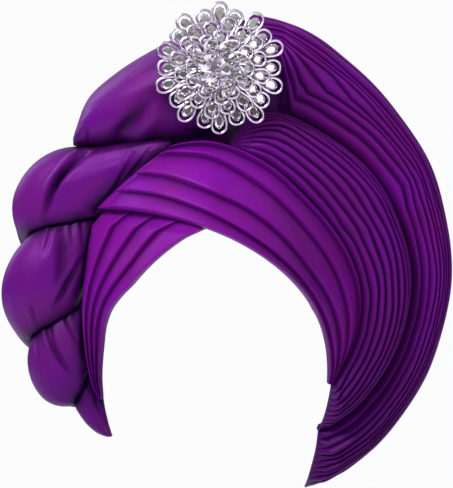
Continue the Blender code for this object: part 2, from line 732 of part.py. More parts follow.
def add_stone(work, middle, radius):
    """A clear stone: a flat table above eight sloping facets, on a plain girdle."""
    back = middle + np.array([0.0, radius * STONE_SUNK, 0.0])
    add_cone(work, back, radius, radius * STONE_TABLE, radius * STONE_DEPTH, STONE_FACETS)


def add_petal(work, middle, number):
    """A pointed petal with a ridge, a little turned round the middle."""
    spoke = 2 * math.pi * number / PETALS
    ends = [
        on_brooch(middle, PETAL_ROOT, spoke - PETAL_TURN, PETAL_RISE + PETAL_TILT),
        on_brooch(middle, PETAL_TIP, spoke + PETAL_TURN, PETAL_RISE - PETAL_TILT),
    ]
    heart = (ends[0] + ends[1]) / 2
    way = ends[1] - ends[0]
    side = np.cross(way, [0.0, 1.0, 0.0])
    side = side / np.linalg.norm(side) * PETAL_WIDTH * BROOCH_RADIUS / 2
    front = np.array([0.0, -PETAL_RIDGE * BROOCH_RADIUS, 0.0])
    back = np.array([0.0, PETAL_KEEL * BROOCH_RADIUS, 0.0])
    spots = [ends[0], heart + side, ends[1], heart - side, heart + front, heart + back]
    corners = [work.verts.new(spot.tolist()) for spot in spots]
    for first, second in ((0, 1), (1, 2), (2, 3), (3, 0)):
        work.faces.new((corners[first], corners[second], corners[4]))
        work.faces.new((corners[second], corners[first], corners[5]))


def brooch_solid(name, middle, tiers, hub, extra, collection):
    """Tiers of loops, stones and hub soldered into one body."""
    work = bmesh.new()
    for tier in tiers:
        work.from_mesh(tier_plate(middle, tier))
    bmesh.ops.remove_doubles(work, verts=work.verts, dist=WELD)
    for tier in tiers:
        for number in range(tier.count):
            throat = tier.root + (tier.tip - tier.root) * THROAT
            spoke = 2 * math.pi * (number + tier.turn) / tier.count
            add_stone(work, on_brooch(middle, throat, spoke, tier.rise + STONE_PROUD), STONE_RADIUS)
    extra(work, middle)
    mesh = bpy.data.meshes.new(name)
    bmesh.ops.recalc_face_normals(work, faces=work.faces)
    work.to_mesh(mesh)
    work.free()
    body = add_object(name, mesh, silver(name), collection)
    core_mesh = bpy.data.meshes.new(name + "_hub")
    core = bmesh.new()
    add_cone(
        core, on_brooch(middle, 0.0, 0.0, hub.back_rise), hub.back_radius * BROOCH_RADIUS,
        hub.front_radius * BROOCH_RADIUS, (hub.front_rise - hub.back_rise) * BROOCH_RADIUS, 20,
    )
    core.to_mesh(core_mesh)
    core.free()
    cutter = bpy.data.objects.new(name + "_hub", core_mesh)
    cutter.hide_render = True
    cutter.display_type = "WIRE"
    cutters = bpy.data.collections.get("joined_shapes")
    cutters.objects.link(cutter)
    union = body.modifiers.new("solder", "BOOLEAN")
    union.operation = "UNION"
    union.solver = "EXACT"
    union.use_self = True
    union.object = cutter
    return body


def middle_stones(work, middle):
    for number in range(PETALS):
        add_petal(work, middle, number)
    add_stone(work, on_brooch(middle, 0.0, 0.0, HEART_STONE_RISE), HEART_STONE_RADIUS)
    for number in range(MIDDLE_STONES):
        spoke = 2 * math.pi * number / MIDDLE_STONES
        add_stone(work, on_brooch(middle, MIDDLE_STONE_RING, spoke, MIDDLE_STONE_RISE), STONE_RADIUS)


def brooch(collection):
    seat = brooch_frame_at()
    pin_mesh = bpy.data.meshes.new("brooch_pin")
    work = bmesh.new()
    add_cone(work, seat, PIN_RADIUS, PIN_RADIUS, PIN_THICK, 16)
    work.to_mesh(pin_mesh)
    work.free()
    add_object("brooch_pin", pin_mesh, silver("brooch_pin"), collection)
    middle = seat - np.array([0.0, PIN_THICK + GAP, 0.0])
    brooch_solid("brooch_frame", middle, FRAME_TIERS, FRAME_HUB, lambda work, middle: None, collection)
    forward = np.array([0.0, GAP, 0.0])
    brooch_solid("brooch_center", middle - forward, CENTER_TIERS, CENTER_HUB, middle_stones, collection)


def main():
    clear_scene()
    collection = bpy.data.collections.new("head_wrap")
    bpy.context.scene.collection.children.link(collection)
    joined = bpy.data.collections.new("joined_shapes")
    bpy.context.scene.collection.children.link(joined)
    head_cap(collection)
    brow_wrap_over(collection)
    brow_wrap_under(collection)
    fan(collection)
    top_roll(collection)
    twist(collection)
    brooch(collection)


main()
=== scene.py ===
# Looks of the tied head wrap: pleated satin bands, fan, roll and twist, and a brooch of wire and stones.
import math
from collections import namedtuple

import bmesh
import bpy
import numpy as np
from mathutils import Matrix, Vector, kdtree, noise


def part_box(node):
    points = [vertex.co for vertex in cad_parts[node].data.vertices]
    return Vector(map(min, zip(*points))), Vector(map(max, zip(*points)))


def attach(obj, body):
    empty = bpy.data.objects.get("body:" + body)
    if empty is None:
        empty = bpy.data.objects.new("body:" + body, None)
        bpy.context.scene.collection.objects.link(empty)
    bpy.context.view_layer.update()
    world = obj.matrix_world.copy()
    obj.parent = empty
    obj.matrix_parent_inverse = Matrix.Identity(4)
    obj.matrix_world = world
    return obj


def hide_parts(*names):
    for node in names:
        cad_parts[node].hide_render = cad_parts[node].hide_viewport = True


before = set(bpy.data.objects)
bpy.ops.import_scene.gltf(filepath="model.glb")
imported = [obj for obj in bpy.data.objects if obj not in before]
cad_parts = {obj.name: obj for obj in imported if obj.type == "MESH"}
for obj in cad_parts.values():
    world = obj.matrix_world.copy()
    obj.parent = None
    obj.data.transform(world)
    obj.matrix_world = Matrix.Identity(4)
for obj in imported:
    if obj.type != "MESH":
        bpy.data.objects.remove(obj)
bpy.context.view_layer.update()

# Sizes that the solids are made from, in metres
HALF_WIDTH, HALF_DEPTH = 0.075, 0.098
CROWN_HEIGHT = 0.100
BROW_DROP = 0.075
CAP_WALL = 0.002
CLOTH = 0.0024
BAND_FOLD = 0.0022
BAND_BOW = 0.004
FAN_REACH = 0.175
FAN_POLE_DROP = 0.1125
FAN_BULGE = 0.008
FAN_VALLEY = 0.007
FAN_ROLL = 0.012
PLEAT_RATIO = 0.55
TWIST_RADIUS = 0.034
BROOCH_RADIUS = 0.049
SEAM = 0.0007
HEAD_GAP = 0.0011
ROLL_GAP = 0.0018
# How far the cloth's inner side keeps from the head.
HEAD_CLEAR = CAP_WALL + HEAD_GAP
# How much squarer than an ellipse the roll's rings are, which have a power of 2.
ROLL_SQUARE = 2.3

BandRow = namedtuple(
    "BandRow", "inner_x inner_z inner_y outer_x outer_z outer_y fold_1 fold_2 fold_3"
)
OVER_ROWS = (
    BandRow(-1.20, -0.58, -0.33, -0.49, 0.00, -0.57, 0.26, 0.54, 0.86),
    BandRow(-0.67, -0.63, -0.77, -0.27, 0.05, -0.60, 0.22, 0.47, 0.81),
    BandRow(-0.12, -0.78, -1.01, -0.05, 0.06, -0.61, 0.17, 0.40, 0.79),
    BandRow(0.18, -0.925, -1.00, 0.23, -0.02, -0.61, 0.13, 0.37, 0.74),
    BandRow(0.48, -1.11, -0.93, 0.55, -0.20, -0.59, 0.11, 0.34, 0.70),
    BandRow(0.73, -1.32, -0.79, 0.88, -0.50, -0.51, 0.10, 0.31, 0.67),
    BandRow(0.93, -1.56, -0.58, 1.15, -0.81, -0.39, 0.10, 0.30, 0.64),
    BandRow(1.03, -1.75, -0.42, 1.33, -1.12, -0.28, 0.10, 0.30, 0.60),
    BandRow(1.085, -1.96, -0.31, 1.41, -1.45, -0.20, 0.10, 0.31, 0.58),
    BandRow(1.105, -2.15, -0.24, 1.36, -1.85, -0.17, 0.12, 0.34, 0.60),
    BandRow(1.105, -2.33, -0.18, 1.145, -2.34, -0.16, 0.20, 0.44, 0.70),
)
UNDER_ROWS = (
    BandRow(-0.29, -0.88, -0.94, -1.24, -0.76, -0.27, 0.28, 0.52, 0.76),
    BandRow(-0.67, -1.20, -0.77, -1.29, -1.05, -0.25, 0.28, 0.52, 0.76),
    BandRow(-0.975, -1.50, -0.55, -1.33, -1.40, -0.22, 0.28, 0.52, 0.76),
    BandRow(-1.09, -1.72, -0.39, -1.34, -1.72, -0.19, 0.28, 0.52, 0.76),
    BandRow(-1.13, -1.98, -0.28, -1.31, -2.02, -0.16, 0.28, 0.52, 0.76),
    BandRow(-1.15, -2.25, -0.21, -1.25, -2.28, -0.14, 0.28, 0.52, 0.76),
    BandRow(-1.14, -2.48, -0.15, -1.18, -2.48, -0.12, 0.28, 0.52, 0.76),
)
# The stretch of the over band, in its rows, that the under band comes out from, and how far across it.
UNDER_LAP_FROM, UNDER_LAP_TO, UNDER_LAP_IN = 2.25, 0.05, 0.08

FanRow = namedtuple("FanRow", "along valley angle reach depth")
FAN_ROWS = (
    FanRow(3.30, 0.28, 83.5, 1.235, -0.12),
    FanRow(3.90, 0.40, 73.0, 1.215, -0.10),
    FanRow(4.50, 0.47, 61.0, 1.163, -0.06),
    FanRow(5.35, 0.55, 46.5, 1.111, -0.02),
    FanRow(6.00, 0.58, 33.0, 1.082, 0.03),
    FanRow(6.70, 0.60, 21.6, 1.045, 0.07),
    FanRow(7.50, 0.61, 8.0, 1.017, 0.10),
    FanRow(8.30, 0.61, -5.0, 0.981, 0.13),
    FanRow(9.00, 0.59, -18.0, 0.957, 0.16),
    FanRow(9.45, 0.56, -31.0, 0.938, 0.21),
    FanRow(9.75, 0.52, -45.0, 0.928, 0.27),
    FanRow(9.92, 0.48, -57.0, 0.915, 0.33),
    FanRow(10.0, 0.45, -65.0, 0.905, 0.36),
)

RollRow = namedtuple("RollRow", "x low high front back")
ROLL_ROWS = (
    RollRow(-1.43, 0.04, 0.12, -0.19, -0.08),
    RollRow(-1.39, 0.03, 0.24, -0.29, 0.00),
    RollRow(-1.32, 0.03, 0.43, -0.39, 0.09),
    RollRow(-1.22, 0.03, 0.58, -0.46, 0.15),
    RollRow(-1.02, 0.03, 0.745, -0.55, 0.22),
    RollRow(-0.82, 0.04, 0.88, -0.61, 0.27),
    RollRow(-0.57, 0.04, 1.02, -0.66, 0.30),
    RollRow(-0.27, -0.02, 1.18, -0.68, 0.32),
    RollRow(-0.02, -0.06, 1.28, -0.68, 0.33),
    RollRow(0.15, -0.06, 1.33, -0.58, 0.33),
    RollRow(0.28, -0.04, 1.30, -0.24, 0.33),
    RollRow(0.45, 0.00, 1.18, -0.06, 0.31),
    RollRow(0.68, 0.20, 0.95, 0.03, 0.27),
    RollRow(0.83, 0.42, 0.72, 0.09, 0.21),
)

StrandRow = namedtuple("StrandRow", "x z y radius")
# Strand A leads in from the brow, makes the first and the third lobe and ends behind the tail.
STRAND_A_ROWS = (
    StrandRow(-0.45, 0.03, -0.51, 0.09),
    StrandRow(-0.62, -0.04, -0.46, 0.31),
    StrandRow(-0.89, -0.17, -0.34, 0.55),
    StrandRow(-1.19, -0.29, -0.22, 0.74),
    StrandRow(-1.47, -0.39, -0.14, 0.90),
    StrandRow(-1.65, -0.555, -0.07, 0.88),
    StrandRow(-1.70, -0.77, 0.05, 0.70),
    StrandRow(-1.65, -1.04, 0.15, 0.60),
    StrandRow(-1.54, -1.32, 0.15, 0.62),
    StrandRow(-1.47, -1.58, 0.06, 0.64),
    StrandRow(-1.50, -1.85, -0.07, 0.71),
    StrandRow(-1.57, -2.11, -0.10, 0.71),
    StrandRow(-1.54, -2.32, -0.07, 0.57),
    StrandRow(-1.41, -2.45, 0.00, 0.30),
    StrandRow(-1.31, -2.52, 0.04, 0.14),
    StrandRow(-1.24, -2.57, 0.05, 0.05),
)
# Strand B starts behind the first lobe, makes the second one and ends in the tail.
STRAND_B_ROWS = (
    StrandRow(-1.16, -0.42, 0.02, 0.12),
    StrandRow(-1.22, -0.58, -0.03, 0.38),
    StrandRow(-1.35, -0.76, -0.09, 0.62),
    StrandRow(-1.53, -1.00, -0.14, 0.77),
    StrandRow(-1.69, -1.25, -0.14, 0.88),
    StrandRow(-1.75, -1.47, -0.07, 0.88),
    StrandRow(-1.71, -1.69, 0.04, 0.74),
    StrandRow(-1.59, -1.92, 0.13, 0.57),
    StrandRow(-1.45, -2.15, 0.10, 0.47),
    StrandRow(-1.33, -2.36, 0.00, 0.40),
    StrandRow(-1.275, -2.52, -0.06, 0.33),
    StrandRow(-1.215, -2.66, -0.07, 0.255),
    StrandRow(-1.155, -2.76, -0.05, 0.18),
    StrandRow(-1.09, -2.83, -0.03, 0.09),
    StrandRow(-1.05, -2.855, -0.02, 0.02),
)
# A strand's depth from front to back, as a share of its width.
STRAND_FLAT = 0.72

# Creases of the roll and the twist, seen from the front, in shares of half the head's width and the brow
# drop: a curve from 0 by 1 to 2, its width and depth in metres, and the height of the ridge to its right.
Crease = namedtuple("Crease", "x0 z0 x1 z1 x2 z2 width depth ridge")
ROLL_CREASES = (
    Crease(-1.05, 0.02, -0.90, 0.22, -0.62, 0.52, 0.0060, 0.0038, 0.0030),
    Crease(-1.29, 0.24, -1.28, 0.12, -1.27, 0.02, 0.0022, 0.0020, 0.0010),
    Crease(-1.35, 0.22, -1.34, 0.12, -1.33, 0.02, 0.0018, 0.0014, 0.0006),
    # The last is broad and shallow; its painted shade darkens the roll's lower side beside the brooch.
    Crease(-0.46, 0.05, -0.08, 0.16, 0.30, 0.24, 0.0095, 0.0040, 0.0012),
)
STRAND_A_CREASES = (
    Crease(-1.20, 0.00, -1.66, -0.22, -1.69, -0.68, 0.0022, 0.0062, 0.0030),
    Crease(-1.50, -0.20, -1.58, -0.28, -1.61, -0.42, 0.0014, 0.0024, 0.0010),
    Crease(-0.82, -0.05, -0.92, -0.28, -1.06, -0.46, 0.0016, 0.0024, 0.0012),
    Crease(-0.67, -0.02, -0.80, -0.22, -1.03, -0.43, 0.0014, 0.0018, 0.0010),
    Crease(-1.70, -1.60, -1.68, -2.00, -1.42, -2.22, 0.0018, 0.0034, 0.0016),
    Crease(-1.58, -1.52, -1.48, -1.72, -1.38, -1.92, 0.0014, 0.0022, 0.0010),
    Crease(-1.80, -1.75, -1.82, -1.95, -1.76, -2.10, 0.0016, 0.0012, 0.0006),
    Crease(-1.36, -1.40, -1.34, -1.60, -1.30, -1.78, 0.0014, 0.0016, 0.0008),
)
STRAND_B_CREASES = (
    Crease(-1.52, -0.70, -1.50, -1.00, -1.54, -1.40, 0.0050, 0.0030, 0.0012),
    Crease(-1.34, -1.10, -1.47, -1.34, -1.60, -1.56, 0.0020, 0.0036, 0.0018),
    Crease(-1.60, -0.66, -1.66, -0.86, -1.70, -1.04, 0.0016, 0.0016, 0.0010),
    Crease(-1.45, -0.64, -1.44, -0.80, -1.42, -0.98, 0.0014, 0.0016, 0.0008),
    Crease(-1.36, -0.62, -1.33, -0.78, -1.33, -0.94, 0.0012, 0.0016, 0.0008),
    Crease(-1.85, -1.52, -1.82, -1.63, -1.78, -1.74, 0.0014, 0.0018, 0.0010),
    Crease(-1.24, -2.34, -1.20, -2.52, -1.12, -2.70, 0.0030, 0.0010, 0.0006),
)

Tier = namedtuple("Tier", "count tip root width rise turn")
LOOP_TIERS = (
    Tier(20, 1.00, 0.48, 0.222, 0.03, 0.0),
    Tier(16, 0.78, 0.34, 0.212, 0.14, 0.5),
    Tier(12, 0.57, 0.19, 0.205, 0.26, 0.0),
)
PETALS = 8


def place(x, y, z):
    """A point from shares of half the head's width and depth and of the brow drop."""
    return np.array([x * HALF_WIDTH, y * HALF_DEPTH, z * BROW_DROP])


def between(rows, at):
    """The table's row at a place counted in rows, on a smooth curve through them."""
    table = np.asarray(rows, float)
    last = len(table) - 1
    at = min(max(at, 0.0), float(last))
    k = min(int(at), last - 1)
    s = at - k
    a, b = table[k], table[k + 1]
    before = table[k - 1] if k else 2 * a - b
    after = table[k + 2] if k + 2 <= last else 2 * b - a
    curve = (
        2 * a
        + (b - before) * s
        + (2 * before - 5 * a + 4 * b - after) * s**2
        + (3 * a - before - 3 * b + after) * s**3
    ) / 2
    return type(rows[0])(*curve)


def column(values):
    """Numbers as a column, so that they go with points."""
    return np.asarray(values, float)[..., None]


def clear_of_head(points, standoff):
    """The points, moved out from the head's middle where they are nearer the head than standoff."""
    points = np.asarray(points, float)
    middle = np.array([0.0, 0.0, -CROWN_HEIGHT])
    axes = np.array([HALF_WIDTH, HALF_DEPTH, CROWN_HEIGHT]) + column(standoff)
    level = np.linalg.norm((points - middle) / axes, axis=-1, keepdims=True)
    return np.where(level >= 1, points, middle + (points - middle) / np.maximum(level, 1e-9))


# How far sideways the outer bands and the fan face, as a share of how far forward.
MOST_LEAN = 0.65


def facing(points):
    """The way the bands and the fan face: forward, leaning away from the fan's pole."""
    points = np.asarray(points, float)
    across = points * np.array([1.0, 0.0, 1.0]) + np.array([0.0, 0.0, FAN_POLE_DROP])
    far = np.linalg.norm(across, axis=-1, keepdims=True)
    lean = MOST_LEAN * (1 - np.exp(-((far / HALF_WIDTH) ** 2)))
    way = across / np.maximum(far, 1e-6) * lean + np.array([0.0, -1.0, 0.0])
    return way / np.linalg.norm(way, axis=-1, keepdims=True)


def waves(points, scale, seed=0.0):
    """A smooth number from about -1 to 1 at each point."""
    flat = np.asarray(points, float).reshape(-1, 3) * scale
    values = [noise.noise(Vector((p[0] + seed, p[1] - seed, p[2] + 2 * seed))) for p in flat]
    return np.array(values).reshape(np.asarray(points).shape[:-1])


def mesh_object(name, points, faces, attribute, values, closed):
    """An object from points and faces, its faces turned outward, with one number for each point."""
    mesh = bpy.data.meshes.new(name)
    mesh.from_pydata(points, [], faces)
    work = bmesh.new()
    work.from_mesh(mesh)
    bmesh.ops.recalc_face_normals(work, faces=work.faces)
    if closed and work.calc_volume(signed=True) < 0:
        bmesh.ops.reverse_faces(work, faces=work.faces)
    work.to_mesh(mesh)
    work.free()
    mesh.attributes.new(attribute, "FLOAT", "POINT").data.foreach_set("value", values)
    thing = bpy.data.objects.new(name, mesh)
    bpy.context.scene.collection.objects.link(thing)
    return thing


def cloth_object(name, points, faces, fold):
    """A smooth closed object, with each point's painted shade as an attribute."""
    fold = np.asarray(fold, float).ravel()
    thing = mesh_object(name, points.tolist(), faces, "fold", fold, closed=True)
    thing.data.shade_smooth()
    return thing


def wall_object(name, front, back, fold):
    """A closed wall between two grids of points of the same size."""
    rows, columns = front.shape[:2]
    count = rows * columns
    grid = np.arange(count).reshape(rows, columns)
    quads = np.stack([grid[:-1, :-1], grid[:-1, 1:], grid[1:, 1:], grid[1:, :-1]], -1).reshape(-1, 4)
    faces = quads.tolist() + (quads[:, ::-1] + count).tolist()
    rim = [*grid[0], *grid[1:, -1], *grid[-1, -2::-1], *grid[-2:0:-1, 0]]
    rim = [int(k) for k in rim]
    for here, after in zip(rim, rim[1:] + rim[:1]):
        faces.append((here, here + count, after + count, after))
    points = np.concatenate([front.reshape(-1, 3), back.reshape(-1, 3)])
    # The back side takes half of the front's painted shade.
    return cloth_object(name, points, faces, np.concatenate([fold.ravel(), fold.ravel() * 0.5]))


def loft_object(name, sections, fold):
    """A closed body through rings of points."""
    rings, around = sections.shape[:2]
    grid = np.arange(rings * around).reshape(rings, around)
    side = np.roll(grid, -1, axis=1)
    quads = np.stack([grid[:-1], side[:-1], side[1:], grid[1:]], -1).reshape(-1, 4)
    faces = quads.tolist() + [grid[0].tolist(), grid[-1].tolist()]
    return cloth_object(name, sections.reshape(-1, 3), faces, fold)


def band_edges(row):
    """The inner and the outer edge of a band's row."""
    return place(row.inner_x, row.inner_y, row.inner_z), place(row.outer_x, row.outer_y, row.outer_z)


def band_base(rows, at, across):
    """Points on a band's plain surface, from its inner edge at 0 to its outer edge at 1."""
    across = np.asarray(across, float)
    inner, outer = band_edges(between(rows, at))
    points = inner + (outer - inner) * column(across)
    width = np.linalg.norm(outer - inner)
    bow = min(BAND_BOW, 0.08 * width) * 4 * across * (1 - across)
    return points + facing(points) * column(bow)


# How far a strip's rounded edge reaches in, and how soft the shadow beside it is.
EDGE_ROUND = 0.0012
EDGE_SHADE = 0.0042
# How much higher than the solids' folds the strips stand, and the ripple on them: its height and scale.
STRIP_LIFT = 1.8
RIPPLE, RIPPLE_SCALE = 0.0004, 38.0
# Where the over band's thin hem starts across it.
HEM = 0.955
# Columns across a strip, as shares of its rounded edge and of the rest.
STRIP_EDGE = (0.0, 0.06, 0.16, 0.32, 0.6, 1.0)
STRIP_REST = (0.08, 0.18, 0.30, 0.42, 0.54, 0.66, 0.76, 0.84, 0.90, 0.94, 0.97, 0.99)


def strip_columns(folds, width):
    """Across a band of that width: each column's place, height share and painted shadow."""
    edges = [0.0, *folds, 1.0]
    places, heights, edge_shadows = [], [], []
    for low, high in zip(edges, edges[1:]):
        strip = max((high - low) * width, 1e-5)
        lip = min(EDGE_ROUND, 0.3 * strip)
        spots = [lip * share for share in STRIP_EDGE]
        spots += [lip + (strip - lip) * share for share in STRIP_REST]
        for spot in spots:
            if spot < lip:
                height = math.sqrt(max(0.0, 1 - (1 - spot / lip) ** 2))
            else:
                part = (spot - lip) / (strip - lip)
                height = 1 - part + 0.12 * math.sin(math.pi * part)
            places.append(low + spot / strip * (high - low))
            heights.append(height)
            # Painted shadow at the strip's end, where the next strip's raised edge stands over it.
            edge_shadows.append(math.exp(-(((strip - spot) / EDGE_SHADE) ** 1.2)) if high < 1 else 0.0)
    places.append(1.0)
    heights.append(0.0)
    edge_shadows.append(0.0)
    return np.array(places), np.array(heights), np.array(edge_shadows)


def band_columns(row, hem=()):
    """The columns across a band's row."""
    inner, outer = band_edges(row)
    return strip_columns((row.fold_1, row.fold_2, row.fold_3, *hem), np.linalg.norm(outer - inner))


def band_row(rows, at, beneath, fade, hem=()):
    """A row of a band's front and back points and the painted shadow beside its strips' edges."""
    across, height, depth = band_columns(between(rows, at), hem)
    base = band_base(rows, at, across)
    raised = height * BAND_FOLD * STRIP_LIFT * fade + RIPPLE * waves(base, RIPPLE_SCALE, 3.0)
    front = clear_of_head(base + facing(base) * column(raised), HEAD_CLEAR + beneath + CLOTH + raised)
    back = clear_of_head(base - facing(base) * CLOTH, HEAD_CLEAR + beneath)
    return front, back, depth * fade


# The gather beside the over band's first edge: where it is, how it slants, its width and height, and the
# tuck at the edge, its width and depth. Places are in rows of the table.
GATHER_AT, GATHER_SLANT, GATHER_WIDTH, GATHER_HEIGHT = 0.14, 0.10, 0.045, 0.0009
TUCK_WIDTH, TUCK_DEPTH = 0.05, 0.0015
# How dark the gather's painted shade is; the tuck's painted shade is at full strength.
GATHER_SHADE = 0.45


def over_band(start=40, rows=170):
    """The over band. A gather and a tuck in painted shade lie beside its first edge, where the neck comes out
    of it.
    """
    last = len(OVER_ROWS) - 1
    beneath = CLOTH + SEAM + BAND_FOLD / 2
    places = [*np.linspace(0, 0.6, start, endpoint=False), *np.linspace(0.6, last, rows)]
    made = [
        band_row(OVER_ROWS, at, beneath, min(1.0, 0.04 + 2.5 * at, 0.35 + last - at), (HEM,))
        for at in places
    ]
    front, back, fold = (np.array(part) for part in zip(*made))
    at = np.array(places)[:, None]
    across = np.linspace(0, 1, front.shape[1])
    gather = np.exp(-(((at - GATHER_AT - GATHER_SLANT * (1 - across)) / GATHER_WIDTH) ** 2))
    gather = gather * np.clip(across * 3, 0, 1)
    tuck = np.exp(-((at / TUCK_WIDTH) ** 2)) * np.ones_like(across)
    front = front - facing(front) * column(GATHER_HEIGHT * gather + TUCK_DEPTH * tuck)
    return wall_object("satin_band_over", front, back, np.clip(fold + GATHER_SHADE * gather + tuck, 0, 1))


def under_band(rows=120, lead_rows=8):
    """The under band, with a lead-in from beneath the over band."""
    last = len(UNDER_ROWS) - 1
    places = np.linspace(0, last, rows)
    made = [band_row(UNDER_ROWS, at, 0.0, min(1.0, 0.35 + (last - at))) for at in places]
    front, back, fold = (np.array(part) for part in zip(*made))
    across, _, _ = band_columns(between(UNDER_ROWS, 0.0))
    lap = np.array([
        band_base(OVER_ROWS, UNDER_LAP_FROM + (UNDER_LAP_TO - UNDER_LAP_FROM) * part, UNDER_LAP_IN)
        for part in across
    ])
    lap = lap - facing(lap) * (CLOTH + 6 * SEAM + BAND_FOLD)
    lap_front = clear_of_head(lap, HEAD_CLEAR + CLOTH)
    lap_back = clear_of_head(lap - facing(lap) * CLOTH, HEAD_CLEAR)
    steps = np.linspace(0, 1, lead_rows + 1)[:-1]
    lead_front = [lap_front + (front[0] - lap_front) * step for step in steps]
    lead_back = [lap_back + (back[0] - lap_back) * step for step in steps]
    front = np.concatenate([np.array(lead_front), front])
    back = np.concatenate([np.array(lead_back), back])
    fold = np.concatenate([np.array([fold[0]] * len(steps)), fold])
    return wall_object("satin_band_under", front, back, fold)


# The valley's width, and where the outer edge rolls back and over how far, as shares of the reach.
VALLEY_WIDTH, ROLL_FROM, ROLL_OVER = 0.10, 0.86, 0.14
SWELL_POWER = 0.7


def fan_base(at, share):
    """Points on the fan's plain surface, from its seat on the band at 0 to its outer edge at 1."""
    row = between(FAN_ROWS, at)
    share = np.asarray(share, float)
    seat = band_base(OVER_ROWS, row.along, 1.0)
    angle = math.radians(row.angle)
    reach = FAN_REACH * row.reach
    outer = np.array([
        reach * math.cos(angle),
        row.depth * HALF_DEPTH,
        reach * math.sin(angle) - FAN_POLE_DROP,
    ])
    way = (outer - seat) / np.linalg.norm(outer - seat)
    seat = seat + way * SEAM
    points = seat + (outer - seat) * column(share)
    inside = np.sin(math.pi * np.clip(share / row.valley, 0, 1)) ** SWELL_POWER
    beyond = np.sin(math.pi * np.clip((share - row.valley) / (1 - row.valley), 0, 1)) ** SWELL_POWER
    swell = np.nan_to_num(np.where(share < row.valley, inside, beyond))
    dip = FAN_VALLEY * np.exp(-(((share - row.valley) / VALLEY_WIDTH) ** 2))
    roll = FAN_ROLL * np.maximum(0.0, (share - ROLL_FROM) / ROLL_OVER) ** 2
    ends = min(1.0, 0.3 + 0.7 * min(at, len(FAN_ROWS) - 1 - at))
    raised = points + facing(points) * column(ends * (FAN_BULGE * swell - dip))
    return raised + column(roll) * np.array([0.0, 1.0, 0.0])


PLEAT_COLUMNS = (0.0, 0.03, 0.09, 0.18, 0.30, 0.44, 0.58, 0.72, 0.83, 0.91, 0.97)
# Where the creases between a group's pleats lie across it, from its inner side out. Rows are places
# along the fan; between them the creases run straight, so each row can be an elbow. dip is the pocket,
# a hollow in painted shade.
PleatRow = namedtuple("PleatRow", "at dip c1 c2 c3 c4 c5 c6 c7 c8")
OUTER_PLEATS = (
    PleatRow(0.00, 0.58, 0.64, 0.69, 0.73, 0.77, 0.81, 0.85, 0.89, 0.95),
    PleatRow(0.70, 0.50, 0.60, 0.67, 0.72, 0.76, 0.80, 0.84, 0.88, 0.95),
    PleatRow(0.95, 0.22, 0.35, 0.52, 0.62, 0.68, 0.74, 0.79, 0.84, 0.94),
    PleatRow(1.25, 0.02, 0.14, 0.32, 0.53, 0.62, 0.69, 0.75, 0.81, 0.93),
    PleatRow(1.50, 0.01, 0.15, 0.24, 0.45, 0.60, 0.67, 0.73, 0.80, 0.92),
    PleatRow(1.85, 0.01, 0.16, 0.25, 0.35, 0.58, 0.66, 0.72, 0.79, 0.92),
    PleatRow(2.30, 0.01, 0.16, 0.27, 0.36, 0.47, 0.64, 0.71, 0.78, 0.92),
    PleatRow(2.75, 0.01, 0.17, 0.28, 0.39, 0.48, 0.59, 0.69, 0.77, 0.91),
    PleatRow(3.40, 0.01, 0.17, 0.29, 0.41, 0.50, 0.59, 0.68, 0.77, 0.91),
    PleatRow(4.10, 0.01, 0.22, 0.33, 0.44, 0.54, 0.62, 0.70, 0.78, 0.91),
    PleatRow(4.60, 0.01, 0.16, 0.28, 0.39, 0.50, 0.59, 0.68, 0.77, 0.90),
    PleatRow(8.00, 0.01, 0.14, 0.27, 0.40, 0.50, 0.60, 0.69, 0.78, 0.89),
    PleatRow(12.0, 0.01, 0.14, 0.27, 0.39, 0.50, 0.60, 0.70, 0.79, 0.90),
)
INNER_PLEATS = (
    PleatRow(0.00, 0.01, 0.13, 0.26, 0.38, 0.50, 0.61, 0.72, 0.82, 0.91),
    PleatRow(2.00, 0.01, 0.12, 0.24, 0.36, 0.48, 0.60, 0.71, 0.81, 0.91),
    PleatRow(4.00, 0.01, 0.10, 0.22, 0.34, 0.46, 0.58, 0.70, 0.80, 0.90),
    PleatRow(8.00, 0.01, 0.14, 0.26, 0.38, 0.50, 0.61, 0.72, 0.82, 0.91),
    PleatRow(12.0, 0.01, 0.15, 0.27, 0.39, 0.50, 0.61, 0.72, 0.82, 0.91),
)
# The columns across the pocket, and its depth.
POCKET = 6
POCKET_DEPTH = 0.007
# How much higher than the solids' pleats these stand, how far the creases wander and the pleats differ.
PLEAT_LIFT, CREASE_WANDER, PLEAT_VARIES = 1.3, 0.022, 0.25
# The inner group starts in a point on the over band's edge, beneath the brooch.
LEAD_ROWS, LEAD_ALONG, LEAD_WIDTH, LEAD_BEND = 14, 2.72, 0.004, 0.002
# The widest pleat that still grows taller, and the crumpled stretch near the fan's lower end: its height,
# its place, and how much painted shade its hollows take and its bulges lose.
MOST_PITCH = 0.0075
CRUMPLE, CRUMPLE_AT, CRUMPLE_SHADE = 0.0022, 11.3, 0.4
# How far the outer group's tuck reaches in behind the inner group, and how far back it lies.
TUCK_REACH, TUCK_DROP = 0.005, -CLOTH - SEAM


def pleat_height(part):
    """A rounded ridge with valleys at 0 and 1, steeper on its inner side."""
    bent = part ** 0.85
    return (1 - abs(2 * bent - 1) ** 1.9) ** 0.85


def crease_places(table, at):
    """Where the creases lie across a group at a place along the fan, straight between the table's rows."""
    rows = np.array(table)
    return np.array([np.interp(at, rows[:, 0], rows[:, k]) for k in range(1, rows.shape[1])] + [1.0])


